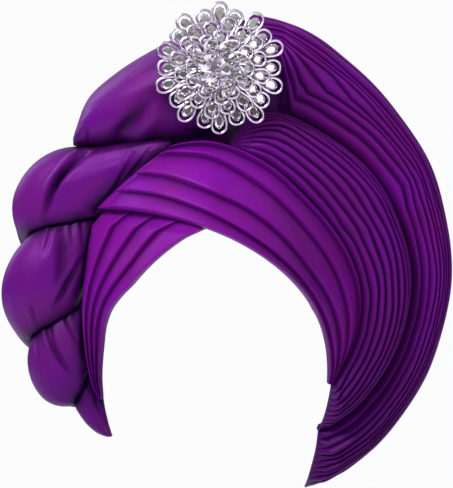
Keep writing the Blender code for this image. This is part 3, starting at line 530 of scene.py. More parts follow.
def fan_group(name, first, last, table, rows, seed, lead=False, tuck=False):
    """One group of pleats. first and last say where it runs across each row of the fan. A tuck goes on
    behind the group before it, so that no light comes through between the two."""
    front, back, fold = [], [], []
    pleats = len(table[0]) - 1
    numbers = np.array([k for k in range(pleats) for _ in PLEAT_COLUMNS] + [pleats - 1])
    within = np.array([u for _ in range(pleats) for u in PLEAT_COLUMNS] + [1.0])
    ridge = np.array([pleat_height(u) for u in within])
    ridge[-1] = 0.0
    ends = len(FAN_ROWS) - 1
    for at in np.linspace(0, ends, rows):
        low, high = first(at), last(at)
        width = np.linalg.norm(fan_base(at, high) - fan_base(at, low))
        creases = crease_places(table, at)
        wander = np.array([noise.noise(Vector((seed + 3.1 * k, 1.1 * at, 0.0))) for k in range(pleats + 1)])
        creases[1:-1] += CREASE_WANDER * wander[1:-1]
        dip = np.linspace(0, 1, POCKET, endpoint=False)
        spots = creases[numbers] + (creases[np.minimum(numbers + 1, pleats)] - creases[numbers]) * within
        part = np.concatenate([[-TUCK_REACH / width] if tuck else [], dip * creases[0], spots])
        base = fan_base(at, low + (high - low) * part)
        pitch = (creases[1:] - creases[:-1])[numbers] * width
        vary = np.array([noise.noise(Vector((seed + 7.7 * k, 1.3 * at, 5.0))) for k in range(pleats)])
        tall = 1 + PLEAT_VARIES * vary
        fade = min(1.0, 0.02 + 1.6 * (ends - at), 0.3 + 1.4 * at)
        height = PLEAT_RATIO * np.minimum(pitch, MOST_PITCH) * ridge * tall[numbers] * PLEAT_LIFT * fade
        hollow = -POCKET_DEPTH * np.sin(math.pi * np.sqrt(dip)) * min(1.0, creases[0] / 0.3)
        if tuck:
            hollow = np.concatenate([[TUCK_DROP], np.minimum(hollow, TUCK_DROP * (1 - dip))])
        crumple = CRUMPLE * waves(base, 95.0, seed) * max(0.0, 1 - abs(at - CRUMPLE_AT) / 0.7)
        height = np.concatenate([hollow, height]) + crumple
        front.append(clear_of_head(base + facing(base) * column(height), HEAD_CLEAR + CLOTH))
        back.append(clear_of_head(base + facing(base) * column(height - CLOTH), HEAD_CLEAR))
        # Painted shade: dark in the pocket and in the valleys between the pleats.
        shade = np.concatenate([np.full(len(hollow), min(1.0, creases[0] / 0.1) * 0.9), (1 - ridge) ** 0.9])
        fold.append(np.clip(shade - CRUMPLE_SHADE * crumple / CRUMPLE, 0, 1))
    front, back, fold = np.array(front), np.array(back), np.array(fold)
    if lead:
        steps = np.linspace(0, 1, LEAD_ROWS, endpoint=False)[:, None, None]
        share = np.linspace(0, 1, front.shape[1])[:, None]
        start = band_base(OVER_ROWS, LEAD_ALONG, 1.0) + np.array([0.0, 0.0, LEAD_WIDTH]) * share
        bend = np.array([0.0, 0.0, LEAD_BEND]) * share * np.sin(math.pi * steps)
        front = np.concatenate([start + (front[0] - start) * steps + bend, front])
        start = start + np.array([0.0, CLOTH, 0.0])
        back = np.concatenate([start + (back[0] - start) * steps + bend, back])
        fold = np.concatenate([np.repeat(fold[:1], LEAD_ROWS, axis=0), fold])
    return wall_object(name, front, back, fold)


def valley_side(side):
    """Where a group ends beside the deep valley: its share, half a gap to one side."""
    def share(at):
        row = between(FAN_ROWS, at)
        width = np.linalg.norm(fan_base(at, 1.0) - fan_base(at, 0.0))
        return row.valley + side * SEAM / 2 / width
    return share


def ring_points(middle, side, up, half_side, half_up, count, power):
    """A rounded ring of points, an ellipse made squarer by power above 2."""
    angles = 2 * math.pi * (np.arange(count) + 0.5) / count
    c, s = np.cos(angles), np.sin(angles)
    return (
        middle
        + side * half_side * column(np.sign(c) * np.abs(c) ** (2 / power))
        + up * half_up * column(np.sign(s) * np.abs(s) ** (2 / power))
    )


def loft_normals(sections):
    """Outward directions at each point of a loft's rings."""
    along = np.gradient(sections, axis=0)
    around = np.roll(sections, -1, axis=1) - np.roll(sections, 1, axis=1)
    normal = np.cross(along, around)
    normal = normal / np.maximum(np.linalg.norm(normal, axis=-1, keepdims=True), 1e-12)
    out = sections - sections.mean(axis=1, keepdims=True)
    flip = np.sign((normal * out).sum(axis=-1, keepdims=True).sum(axis=1, keepdims=True))
    return normal * np.where(flip == 0, 1, flip)


def crease_depths(points, normals, creases):
    """How far each point moves out for the creases, and the painted shade in their grooves. Only the front is
    creased.
    """
    move = np.zeros(points.shape[:-1])
    fold = np.zeros(points.shape[:-1])
    front = np.clip(0.35 - 1.6 * normals[..., 1], 0, 1)
    t = np.linspace(0, 1, 33)
    for crease in creases:
        ends = np.array(crease[:6]).reshape(3, 2) * np.array([HALF_WIDTH, BROW_DROP])
        line = (
            ends[0] * column((1 - t) ** 2) + ends[1] * column(2 * t * (1 - t)) + ends[2] * column(t**2)
        )
        away = points[..., None, [0, 2]] - line
        far = np.linalg.norm(away, axis=-1)
        near = far.argmin(axis=-1)
        distance = far.min(axis=-1)
        way = np.gradient(line, axis=0)[near]
        offset = np.take_along_axis(away, near[..., None, None], axis=-2)[..., 0, :]
        side = np.sign(way[..., 1] * offset[..., 0] - way[..., 0] * offset[..., 1])
        taper = np.sin(math.pi * np.clip(t[near], 0.02, 0.98)) ** 0.6
        groove = np.exp(-((distance / crease.width) ** 2)) * taper * front
        ridge = np.exp(-((side * distance / crease.width - 2.0) ** 2)) * taper * front
        move += crease.ridge * ridge - crease.depth * groove
        fold += groove * min(1.0, crease.depth / 0.004)
    return move, np.clip(fold, 0, 1)


# The height of the soft folds along the roll and the twist, and of the gathers at their back, and how
# the gathers stretch along the piece.
SOFT_FOLD = 0.0006
BACK_GATHER = 0.0016
BACK_STRETCH = np.array([2.6, 2.6, 0.7])


def dressed_loft(name, sections, creases, seed):
    """A loft with long soft folds along it and its creases."""
    normals = loft_normals(sections)
    rings, around = sections.shape[:2]
    ring_at, turn_at = np.meshgrid(np.arange(rings) / rings, np.arange(around) / around, indexing="ij")
    coordinates = np.stack([
        np.cos(2 * math.pi * turn_at) * 2.2, np.sin(2 * math.pi * turn_at) * 2.2, ring_at * 5.0
    ], -1)
    fine = waves(coordinates, 1.9, seed)
    soft = waves(coordinates, 0.8, seed + 9)
    ends = np.clip(np.minimum(ring_at, 1 - ring_at) * 8, 0, 1)
    move, fold = crease_depths(sections, normals, creases)
    behind = np.clip(1.4 * normals[..., 1], 0, 1) * ends
    gather = waves(coordinates * BACK_STRETCH, 1.6, seed + 20)
    move = move + SOFT_FOLD * (0.6 * fine + soft) * ends + BACK_GATHER * gather * behind
    # Painted shade in the valleys of the gathers at the back.
    fold = np.clip(fold + 0.6 * np.clip(-1.4 * gather, 0, 1) * behind, 0, 1)
    return loft_object(name, sections + normals * column(move), fold)


def top_roll(around=120, count=150):
    front_way, up = np.array([0.0, -1.0, 0.0]), np.array([0.0, 0.0, 1.0])
    sections = []
    for at in np.linspace(0, len(ROLL_ROWS) - 1, count):
        row = between(ROLL_ROWS, at)
        low = place(row.x, row.front, row.low)
        high = place(row.x, row.back, row.high)
        half = (high - low) / 2
        ring = ring_points((low + high) / 2, front_way, up, half[1], half[2], around, ROLL_SQUARE)
        sections.append(clear_of_head(ring, CAP_WALL + ROLL_GAP))
    return dressed_loft("satin_roll", np.array(sections), ROLL_CREASES, 2.0)


# How far from the bands the twist starts to curve in beside them, and where the bands' ends are tucked in.
VALLEY_REACH = 0.016
TUCK_FROM, TUCK_OVER = -2.35, 0.2
# How far the first lobe's soft top presses into the roll.
ROLL_PRESS = 0.0008
# How much farther than its own surface, as a share of the radius, a strand keeps from the other one.
PRESS = 0.02
LEAST_SHARE = 0.25


def behind_bands(points):
    """The points, moved back beside the left edge of the brow bands, but not where these end in the tail."""
    edges = [band_base(UNDER_ROWS, at, 1.0) for at in range(len(UNDER_ROWS) - 1, -1, -1)]
    edges += [band_base(OVER_ROWS, 0.0, 0.0), band_base(OVER_ROWS, 0.0, 1.0)]
    levels = [edge[2] for edge in edges]
    edge_x = np.interp(points[..., 2], levels, [edge[0] for edge in edges])
    edge_y = np.interp(points[..., 2], levels, [edge[1] for edge in edges]) + CLOTH + SEAM + BAND_FOLD
    inside = np.clip((points[..., 0] - edge_x + VALLEY_REACH) / VALLEY_REACH, 0, 1)
    limit = edge_y - VALLEY_REACH * (1 - inside**2) ** 0.5 * 1.3
    limit = np.where(inside > 0, limit, -1.0)
    free = np.clip((points[..., 2] / BROW_DROP - TUCK_FROM) / TUCK_OVER, 0, 1)
    moved = points.copy()
    moved[..., 1] += np.maximum(limit - points[..., 1], 0) * free
    return moved


def under_roll(points):
    """The points, moved down where they would reach into the roll."""
    table = np.array(ROLL_ROWS)
    x = points[..., 0] / HALF_WIDTH
    low, high, front, back = (np.interp(x, table[:, 0], table[:, k]) for k in (1, 2, 3, 4))
    middle, half = (low + high) / 2 * BROW_DROP, (high - low) / 2 * BROW_DROP
    depth = np.clip(abs(points[..., 1] / HALF_DEPTH - (front + back) / 2) / ((back - front) / 2), 0, 1)
    inside = (x > table[0, 0]) & (depth < 1)
    curve = (1 - depth**ROLL_SQUARE) ** (1 / ROLL_SQUARE)
    ceiling = np.where(inside, middle - half * curve + ROLL_PRESS, 1.0)
    moved = points.copy()
    moved[..., 2] = np.where(points[..., 2] < middle, np.minimum(points[..., 2], ceiling), points[..., 2])
    return moved


def strand_tube(rows, around, count):
    """Rings of one strand, round in a space stretched from front to back, and their middles and radii."""
    rows = [between(rows, at) for at in np.linspace(0, len(rows) - 1, count)]
    stretch = np.array([1.0, 1 / STRAND_FLAT, 1.0])
    middles = np.array([place(row.x, row.y, row.z) for row in rows]) * stretch
    radii = np.array([max(row.radius, 0.02) for row in rows]) * TWIST_RADIUS
    ways = np.gradient(middles, axis=0)
    ways = ways / np.linalg.norm(ways, axis=1, keepdims=True)
    rings = []
    for middle, way, radius in zip(middles, ways, radii):
        front = np.array([0.0, -1.0, 0.0])
        front = front - way * np.dot(front, way)
        front = front / np.linalg.norm(front)
        rings.append(ring_points(middle, front, np.cross(way, front), radius, radius, around, 2.0))
    return np.array(rings), middles, radii


def pressed(rings, middles, others, other_radii):
    """The rings, pulled in where they would meet the other strand, as of two soft rolls pressed together."""
    low, high = np.zeros(rings.shape[:2]), np.ones(rings.shape[:2])

    def reach(share):
        spots = middles[:, None] + (rings - middles[:, None]) * share[..., None]
        away = np.linalg.norm(spots[:, :, None] - others, axis=-1) / other_radii
        return away.min(axis=-1)

    free = reach(high) >= 1 + PRESS
    for _ in range(9):
        share = (low + high) / 2
        clear = reach(share) >= share + PRESS
        low = np.where(clear, share, low)
        high = np.where(clear, high, share)
    share = np.where(free, 1.0, np.maximum(low, LEAST_SHARE))
    return middles[:, None] + (rings - middles[:, None]) * share[..., None]


def twist_strand(name, rows, other_rows, creases, count, seed):
    """One strand of the twist, pressed against the other one, the bands and the roll."""
    rings, middles, _ = strand_tube(rows, 110, count)
    _, others, other_radii = strand_tube(other_rows, 4, 90)
    rings = pressed(rings, middles, others, other_radii) * np.array([1.0, STRAND_FLAT, 1.0])
    rings = under_roll(behind_bands(clear_of_head(rings, HEAD_CLEAR)))
    return dressed_loft(name, rings, creases, seed)


class Shape:
    """Points and faces of one joined piece, gathered as it is built."""

    def __init__(self):
        self.points, self.faces, self.tones = [], [], []

    def add(self, points, faces, reflection_tone=0.5):
        start = len(self.points)
        self.points += [tuple(point) for point in points]
        self.faces += [tuple(start + k for k in face) for face in faces]
        self.tones += [reflection_tone] * len(points)

    def object(self, name, smooth=True):
        thing = mesh_object(name, self.points, self.faces, "reflection_tone", self.tones, closed=False)
        if smooth:
            thing.data.shade_smooth()
            thing.data.set_sharp_from_angle(angle=math.radians(50))
        else:
            thing.data.shade_flat()
        return thing


FRONT = np.array([0.0, -1.0, 0.0])


def brooch_middle():
    low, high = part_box("brooch_frame")
    return np.array([(low[0] + high[0]) / 2, high[1], (low[2] + high[2]) / 2])


def spoke_frame(angle):
    """The way out from the brooch's middle and the way round it."""
    out = np.array([math.sin(angle), 0.0, math.cos(angle)])
    return out, np.cross(FRONT, out)


def add_tube(shape, path, radius, closed, sides=8):
    """A round wire along a path. Its ends are closed where the path is open."""
    path = np.asarray(path)
    count = len(path)
    if closed:
        ways = np.roll(path, -1, axis=0) - np.roll(path, 1, axis=0)
    else:
        ways = np.gradient(path, axis=0)
    points = []
    for spot, way in zip(path, ways):
        way = way / np.linalg.norm(way)
        side = np.cross(way, FRONT)
        side = side / np.linalg.norm(side)
        up = np.cross(side, way)
        for step in range(sides):
            angle = 2 * math.pi * step / sides
            points.append(spot + radius * (side * math.cos(angle) + up * math.sin(angle)))
    faces = []
    for k in range(count if closed else count - 1):
        for step in range(sides):
            a, b = k * sides + step, k * sides + (step + 1) % sides
            c, d = ((k + 1) % count) * sides + step, ((k + 1) % count) * sides + (step + 1) % sides
            faces.append((a, b, d, c))
    if not closed:
        faces += [tuple(range(sides))[::-1], tuple((count - 1) * sides + s for s in range(sides))]
    shape.add(points, faces)


def add_gem(shape, middle, out, side, normal, length, width, pinch, reflection_tone):
    """A cut stone: a flat table, a ring of large facets, a girdle and a pointed back."""
    steps = 8
    rings = ((0.56, 0.52, 0.0), (0.84, 0.30, 0.5), (1.0, 0.0, 0.0))
    points = []
    for radius, rise, shift in rings:
        for step in range(steps):
            angle = 2 * math.pi * (step + shift) / steps
            along = math.cos(angle)
            narrow = 1 - pinch * max(0.0, -along)
            points.append(
                middle + out * along * radius * length
                + side * math.sin(angle) * radius * width * narrow + normal * rise * width
            )
    points.append(middle - normal * 0.75 * width)
    faces = [tuple(range(steps))]
    for step in range(steps):
        after = (step + 1) % steps
        faces.append((step, steps + step, after))
        faces.append((steps + step, steps + after, after))
        faces.append((steps + step, 2 * steps + step, 2 * steps + after))
        faces.append((steps + step, 2 * steps + after, steps + after))
        faces.append((2 * steps + step, 3 * steps, 2 * steps + after))
    # How light the whole stone is drawn is a painted reflection.
    shape.add(points, faces, reflection_tone)


def drop_outline(count=34):
    """A drop's outline, its narrow end first: how far out, and to the side as a share of half the width."""
    angles = 2 * math.pi * np.arange(count) / count
    return 0.5 - 0.5 * np.cos(angles), np.sin(angles) * np.abs(np.sin(angles / 2)) ** 2.0 / 0.65


WIRE = 0.00100
# A loop's stone: its place along the loop, its half length and half width as shares of the loop's, and how
# much its inner end narrows.
STONE_SEAT, STONE_LENGTH, STONE_WIDTH, STONE_PINCH = 0.62, 0.27, 0.74, 0.40
# How much shorter every second loop is, and how much the loops' reach and angle wander.
LOOP_STAGGER, REACH_WANDER, ANGLE_WANDER = 0.075, 0.05, 0.26
PETAL_ROOT, PETAL_LENGTH, PETAL_WIDTH, PETAL_CURL, PETAL_RISE = 0.10, 0.36, 0.20, 0.60, 0.36
# The middle stone's place, its length and width, and the small stones round it: their number, their
# distance and their size.
HEART = np.array([0.10, 0.0, -0.04]) * BROOCH_RADIUS
HEART_LENGTH, HEART_WIDTH = 0.0050, 0.0045
HEART_RING, HEART_RING_REACH, HEART_RING_SIZE = 7, 0.0068, 0.0020
# The hub that carries the petals: its radius and height at each ring, as shares of the brooch's radius.
HUB_RINGS = ((0.24, 0.0), (0.22, 0.16), (0.18, 0.26), (0.15, 0.36), (0.13, 0.42), (0.01, 0.43))
HUB_SIDES = 28
# Small stones on a petal: how far out, and to the side as a share of half the petal's width.
PAVE = (
    (0.22, 0.0), (0.38, 0.0), (0.50, -0.38), (0.50, 0.38), (0.64, 0.0), (0.66, -0.66), (0.66, 0.66),
    (0.78, -0.34), (0.78, 0.34), (0.90, 0.0),
)


def loop_and_stone(wires, stones, middle, layer, tier, number):
    """One wire loop on its stem, with a drop-shaped stone that leaves the loop's outer end open."""
    wobble = noise.noise(Vector((number * 1.7, layer * 5.0, 0.3)))
    angle = 2 * math.pi * (number + tier.turn + ANGLE_WANDER * wobble) / tier.count
    out, side = spoke_frame(angle)
    wander = noise.noise(Vector((number * 2.3, layer * 3.0, 4.0)))
    reach = 1 - LOOP_STAGGER * (number % 2) + REACH_WANDER * wander
    root, tip = tier.root * BROOCH_RADIUS, tier.tip * BROOCH_RADIUS * reach - WIRE
    half = tier.width * BROOCH_RADIUS / 2
    far, wide = drop_outline()
    rise = BROOCH_RADIUS * (tier.rise + 0.045) - 0.035 * BROOCH_RADIUS * far
    path = (
        middle + out * column(root + (tip - root) * far) + side * column(wide * half) + FRONT * column(rise)
    )
    add_tube(wires, path, WIRE, True)
    start = middle + out * root * 0.45 + FRONT * BROOCH_RADIUS * tier.rise
    add_tube(wires, np.linspace(start, path[0], 5), WIRE, False)
    lean = FRONT * 0.97 + out * 0.16 + side * 0.30 * wobble
    lean = lean / np.linalg.norm(lean)
    along = out - lean * np.dot(out, lean)
    along = along / np.linalg.norm(along)
    seat = middle + out * (root + (tip - root) * STONE_SEAT) + FRONT * BROOCH_RADIUS * (tier.rise + 0.03)
    # How light the stone is drawn follows its tilt: a painted reflection.
    add_gem(
        stones, seat, along, np.cross(lean, along), lean,
        (tip - root) * STONE_LENGTH, half * STONE_WIDTH, STONE_PINCH, 0.5 + 0.6 * wobble,
    )


def petal(wires, stones, middle, angle):
    """A curled, slightly domed leaf of metal with a wire rim, set with small stones."""
    def spot(far, across, rise):
        way, sideways = spoke_frame(angle + PETAL_CURL * (far - 0.4))
        half = PETAL_WIDTH / 2 * math.sin(math.pi * min(0.97, max(0.06, far)) ** 1.35) ** 0.7
        return (
            middle + way * BROOCH_RADIUS * (PETAL_ROOT + PETAL_LENGTH * far)
            + sideways * BROOCH_RADIUS * half * across
            + FRONT * BROOCH_RADIUS
            * (PETAL_RISE + 0.05 * math.sin(math.pi * far) + rise - 0.03 * across**2)
        )

    lengths, widths = np.linspace(0, 1, 12), np.linspace(-1, 1, 7)
    grid = [spot(far, across, 0.0) for far in lengths for across in widths]
    under = [spot(far, across, -0.03) for far in lengths for across in widths]
    step, count = len(widths), len(grid)
    faces = []
    for row in range(len(lengths) - 1):
        for k in range(step - 1):
            a = row * step + k
            faces.append((a, a + 1, a + step + 1, a + step))
            faces.append((count + a, count + a + step, count + a + step + 1, count + a + 1))
    rim = [*range(step), *range(2 * step - 1, count, step), *range(count - 2, count - step - 1, -1)]
    rim += list(range(count - 2 * step, 0, -step))
    faces += [(a, b, b + count, a + count) for a, b in zip(rim, rim[1:] + rim[:1])]
    wires.add(grid + under, faces)
    add_tube(wires, [grid[k] for k in rim], WIRE * 0.9, True, sides=6)
    for number, (far, across) in enumerate(PAVE):
        way, sideways = spoke_frame(angle + PETAL_CURL * (far - 0.4))
        size = 0.00125 + 0.0004 * (number % 3)
        # Each small stone is drawn lighter or darker: a painted reflection.
        reflection_tone = 0.5 + 0.5 * math.sin(number * 2.4 + angle * 3)
        add_gem(stones, spot(far, across * 0.8, 0.006), way, sideways, FRONT, size, size, 0.0, reflection_tone)


def add_hub(wires, middle):
    """The round hub beneath the petals."""
    points = []
    for radius, rise in HUB_RINGS:
        for step in range(HUB_SIDES):
            out, _ = spoke_frame(2 * math.pi * step / HUB_SIDES)
            points.append(middle + BROOCH_RADIUS * (out * radius + FRONT * rise))
    last = (len(HUB_RINGS) - 1) * HUB_SIDES
    faces = [tuple(range(HUB_SIDES)), tuple(range(last, last + HUB_SIDES))]
    for ring in range(len(HUB_RINGS) - 1):
        for step in range(HUB_SIDES):
            a, b = ring * HUB_SIDES + step, ring * HUB_SIDES + (step + 1) % HUB_SIDES
            faces.append((a, b, b + HUB_SIDES, a + HUB_SIDES))
    wires.add(points, faces)


def brooch():
    """Three tiers of wire loops with a stone in each, and curled petals round a large middle stone."""
    middle = brooch_middle()
    wires, stones = Shape(), Shape()
    for layer, tier in enumerate(LOOP_TIERS):
        for number in range(tier.count):
            loop_and_stone(wires, stones, middle, layer, tier, number)
    for number in range(PETALS):
        petal(wires, stones, middle, 2 * math.pi * (number + 0.3) / PETALS)
    way, across = spoke_frame(0.2)
    heart = middle + HEART
    seat = heart + FRONT * BROOCH_RADIUS * 0.47
    # The middle stone is drawn light and the ring's stones ever lighter round it: painted reflections.
    add_gem(stones, seat, way, across, FRONT, HEART_LENGTH, HEART_WIDTH, 0.0, 0.9)
    for number in range(HEART_RING):
        way, across = spoke_frame(2 * math.pi * number / HEART_RING)
        seat = heart + way * HEART_RING_REACH + FRONT * BROOCH_RADIUS * 0.43
        add_gem(stones, seat, way, across, FRONT, HEART_RING_SIZE, HEART_RING_SIZE, 0.0, 0.3 + 0.1 * number)
    add_hub(wires, middle)
    return wires.object("brooch_wires"), stones.object("brooch_stones", smooth=False)


def node(tree, kind, inputs=(), **settings):
    """A new node with its settings. An input takes a value, or the output that it is linked to."""
    made = tree.nodes.new(kind)
    for name, value in settings.items():
        setattr(made, name, value)
    set_inputs(tree, made, dict(inputs))
    return made


def set_inputs(tree, made, inputs):
    for name, value in inputs.items():
        if isinstance(value, bpy.types.NodeSocket):
            tree.links.new(value, made.inputs[name])
        else:
            made.inputs[name].default_value = value


def new_shader(name):
    material = bpy.data.materials.new(name)
    material.use_nodes = True
    tree = material.node_tree
    return material, tree, tree.nodes["Principled BSDF"]


def ramp(tree, fac, stops):
    """The colour output of a ramp through the stops, driven by fac."""
    made = node(tree, "ShaderNodeValToRGB", {"Fac": fac})
    elements = made.color_ramp.elements
    while len(elements) < len(stops):
        elements.new(0.5)
    for element, (place_at, colour) in zip(elements, stops):
        element.position = place_at
        element.color = (*colour, 1.0)
    return made.outputs["Color"]


# bright and warm: purples that the satin wanders between; deep: the colour of its painted shade.
Satin = namedtuple("Satin", "bright warm deep roughness sheen low")
# One satin throughout; the fan's and the puffs' darker colours are painted shade. low: how dark the lower end
# is painted.
SATINS = {
    "band_satin": Satin((0.175, 0.003, 0.275), (0.168, 0.004, 0.215), (0.012, 0.0, 0.028), 0.42, 0.05, 0.15),
    "fan_satin": Satin((0.13, 0.003, 0.22), (0.13, 0.004, 0.17), (0.020, 0.0, 0.045), 0.42, 0.05, 0.72),
    "puff_satin": Satin((0.104, 0.003, 0.18), (0.115, 0.006, 0.150), (0.006, 0.0, 0.020), 0.38, 0.05, 0.35),
    "cap_satin": Satin((0.12, 0.005, 0.20), (0.10, 0.005, 0.16), (0.02, 0.0, 0.05), 0.5, 0.08, 0.3),
}
# The heights between which painted shade darkens the cloth towards its lower end.
DUSK_FROM, DUSK_TO = -0.02, -0.24
# How dense the weave and the slubs are.
WEAVE_SCALE, SLUB_SCALE = 620.0, 190.0


def satin(name):
    """Satin: colour that wanders between two purples, with painted shade in its folds, where pieces meet
    and towards its lower end, and a fine weave.
    """
    look = SATINS[name]
    deep = (*look.deep, 1.0)
    material, tree, shader = new_shader(name)
    spot = node(tree, "ShaderNodeTexCoord").outputs["Object"]
    patches = node(tree, "ShaderNodeTexNoise", {"Scale": 26.0, "Detail": 3.0, "Vector": spot})
    tint = ramp(tree, patches.outputs["Fac"], ((0.36, look.bright), (0.64, look.warm)))
    # Painted shade: the point attribute mixes in the deep colour in folds and where pieces meet.
    fold = node(tree, "ShaderNodeAttribute", attribute_name="fold").outputs["Fac"]
    mixed = node(tree, "ShaderNodeMix", data_type="RGBA")
    set_inputs(tree, mixed, {"Factor": fold, "A": tint, "B": deep})
    height = node(tree, "ShaderNodeSeparateXYZ", {"Vector": spot})
    # Painted shade towards the lower end, up to the satin's low share of the deep colour.
    dusk = node(tree, "ShaderNodeMapRange", {
        "From Min": DUSK_FROM, "From Max": DUSK_TO, "To Max": look.low, "Value": height.outputs["Z"],
    }, interpolation_type="SMOOTHSTEP")
    lowered = node(tree, "ShaderNodeMix", data_type="RGBA")
    set_inputs(tree, lowered, {"Factor": dusk.outputs["Result"], "A": mixed.outputs["Result"], "B": deep})
    weave = [
        node(
            tree, "ShaderNodeTexWave", {"Scale": WEAVE_SCALE, "Distortion": 0.6, "Vector": spot},
            wave_type="BANDS", bands_direction=direction,
        ).outputs["Fac"]
        for direction in ("X", "Z")
    ]
    threads = node(tree, "ShaderNodeMath", {0: weave[0], 1: weave[1]}, operation="ADD")
    slub = node(tree, "ShaderNodeTexNoise", {"Scale": SLUB_SCALE, "Detail": 4.0, "Vector": spot})
    fine = node(tree, "ShaderNodeBump", {
        "Strength": 0.10, "Distance": 0.0002, "Height": threads.outputs["Value"],
    })
    soft = node(tree, "ShaderNodeBump", {
        "Strength": 0.12, "Distance": 0.0006, "Height": slub.outputs["Fac"], "Normal": fine.outputs["Normal"],
    })
    gloss = node(tree, "ShaderNodeMapRange", {
        "To Min": look.roughness - 0.05, "To Max": look.roughness + 0.09, "Value": slub.outputs["Fac"],
    })
    set_inputs(tree, shader, {
        "Base Color": lowered.outputs["Result"],
        "Normal": soft.outputs["Normal"],
        "Roughness": gloss.outputs["Result"],
        "Sheen Weight": look.sheen,
        "Sheen Roughness": 0.35,
        "Sheen Tint": (0.40, 0.12, 0.80, 1.0),
        "Specular IOR Level": 0.30,
        "Specular Tint": (0.75, 0.22, 1.0, 1.0),
    })
    return material


def plated_metal(name):
    """Bright plating, clouded a little."""
    material, tree, shader = new_shader(name)
    spot = node(tree, "ShaderNodeTexCoord").outputs["Object"]
    cloud = node(tree, "ShaderNodeTexNoise", {"Scale": 300.0, "Vector": spot}).outputs["Fac"]
    rough = node(tree, "ShaderNodeMapRange", {"To Min": 0.14, "To Max": 0.28, "Value": cloud})
    set_inputs(tree, shader, {
        "Base Color": ramp(tree, cloud, ((0.3, (0.66, 0.60, 0.72)), (0.7, (0.86, 0.80, 0.90)))),
        "Roughness": rough.outputs["Result"],
        "Metallic": 1.0,
    })
    return material


def crystal(name):
    """Clear cut stones on grey foil: mirror-like facets, each stone drawn lighter or darker and speckled as
    painted reflections.
    """
    material, tree, shader = new_shader(name)
    reflection_tone = node(tree, "ShaderNodeAttribute", attribute_name="reflection_tone").outputs["Fac"]
    spot = node(tree, "ShaderNodeTexCoord").outputs["Object"]
    # Painted glints: small speckles that lighten and darken the stones.
    spark = node(tree, "ShaderNodeTexVoronoi", {"Scale": 700.0, "Vector": spot}).outputs["Distance"]
    level = node(tree, "ShaderNodeMath", {0: spark, 1: 0.7, 2: reflection_tone}, operation="MULTIPLY_ADD")
    tones = ((0.1, (0.25, 0.21, 0.22)), (0.6, (0.48, 0.44, 0.43)), (1.0, (0.80, 0.77, 0.82)))
    set_inputs(tree, shader, {
        "Base Color": ramp(tree, level.outputs["Value"], tones),
        "Metallic": 0.9,
        "Roughness": 0.06,
        "Coat Weight": 1.0,
        "Coat Roughness": 0.02,
        "Coat IOR": 1.9,
    })
    return material


def contact_shade(piece, others, reach, strength):
    """Paints shade into a piece, as into its folds, where another piece lies close to it."""
    spots = [vertex.co for other in others for vertex in other.data.vertices]
    tree = kdtree.KDTree(len(spots))
    for number, spot in enumerate(spots):
        tree.insert(spot, number)
    tree.balance()
    for vertex, fold in zip(piece.data.vertices, piece.data.attributes["fold"].data):
        away = tree.find(vertex.co)[2]
        fold.value = max(fold.value, strength * math.exp(-((away / reach) ** 2)))


def dress(piece, material, slot, *nodes):
    piece.data.materials.clear()
    piece.data.materials.append(material)
    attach(piece, "root")
    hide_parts(*nodes)
    return piece


RimRow = namedtuple("RimRow", "around drop")
# The cap's rim: degrees round from the front, and how far below the crown, as a share of the brow drop.
CAP_RIM = (
    RimRow(0.0, 0.60), RimRow(20.0, 0.66), RimRow(45.0, 0.92), RimRow(65.0, 1.15), RimRow(90.0, 1.36),
    RimRow(115.0, 1.10), RimRow(140.0, 0.86), RimRow(160.0, 0.76), RimRow(180.0, 0.68),
)
CAP_GATHER = 0.0009


def cap(around=180, down=60):
    """The cap: an open shell round the head's crown, with soft folds at the back."""
    rim_around, rim_drop = zip(*CAP_RIM)
    outer, inner, fold = [], [], []
    for ring in range(down + 1):
        outer_row, inner_row, fold_shade_row = [], [], []
        for step in range(around + 1):
            turn = 2 * math.pi * step / around
            from_front = abs(math.degrees(math.remainder(turn, 2 * math.pi)))
            drop = np.interp(from_front, rim_around, rim_drop) * BROW_DROP
            rim = math.acos(max(-0.95, 1 - drop / CROWN_HEIGHT))
            tilt = max(rim * ring / down, 0.02)
            way = np.array([
                HALF_WIDTH * math.sin(tilt) * math.sin(turn),
                -HALF_DEPTH * math.sin(tilt) * math.cos(turn),
                CROWN_HEIGHT * (math.cos(tilt) - 1),
            ])
            axes = np.array([HALF_WIDTH, HALF_DEPTH, CROWN_HEIGHT])
            out = (way - np.array([0.0, 0.0, -CROWN_HEIGHT])) / axes
            out = out / np.linalg.norm(out)
            back = max(0.0, way[1] / HALF_DEPTH)
            gather = math.sin(way[0] / HALF_WIDTH * 34 + 2.0 * math.sin(way[2] * 30)) * 0.5 + 0.5
            lift = CAP_GATHER * back * gather * min(1.0, ring / 12)
            outer_row.append(way + out * (CAP_WALL + lift))
            inner_row.append(way)
            # Painted shade in the valleys of the gathers at the back.
            fold_shade_row.append((1 - gather) * back)
        outer.append(outer_row)
        inner.append(inner_row)
        fold.append(fold_shade_row)
    return wall_object("satin_cap", np.array(outer), np.array(inner), np.array(fold))


def add_area(name, location, target, size, energy, colour):
    light = bpy.data.lights.new(name, "AREA")
    light.shape = "RECTANGLE"
    light.size, light.size_y = size
    light.energy = energy
    light.color = colour
    lamp = bpy.data.objects.new(name, light)
    lamp.location = location
    lamp.rotation_euler = (Vector(target) - Vector(location)).to_track_quat("-Z", "Y").to_euler()
    bpy.context.scene.collection.objects.link(lamp)


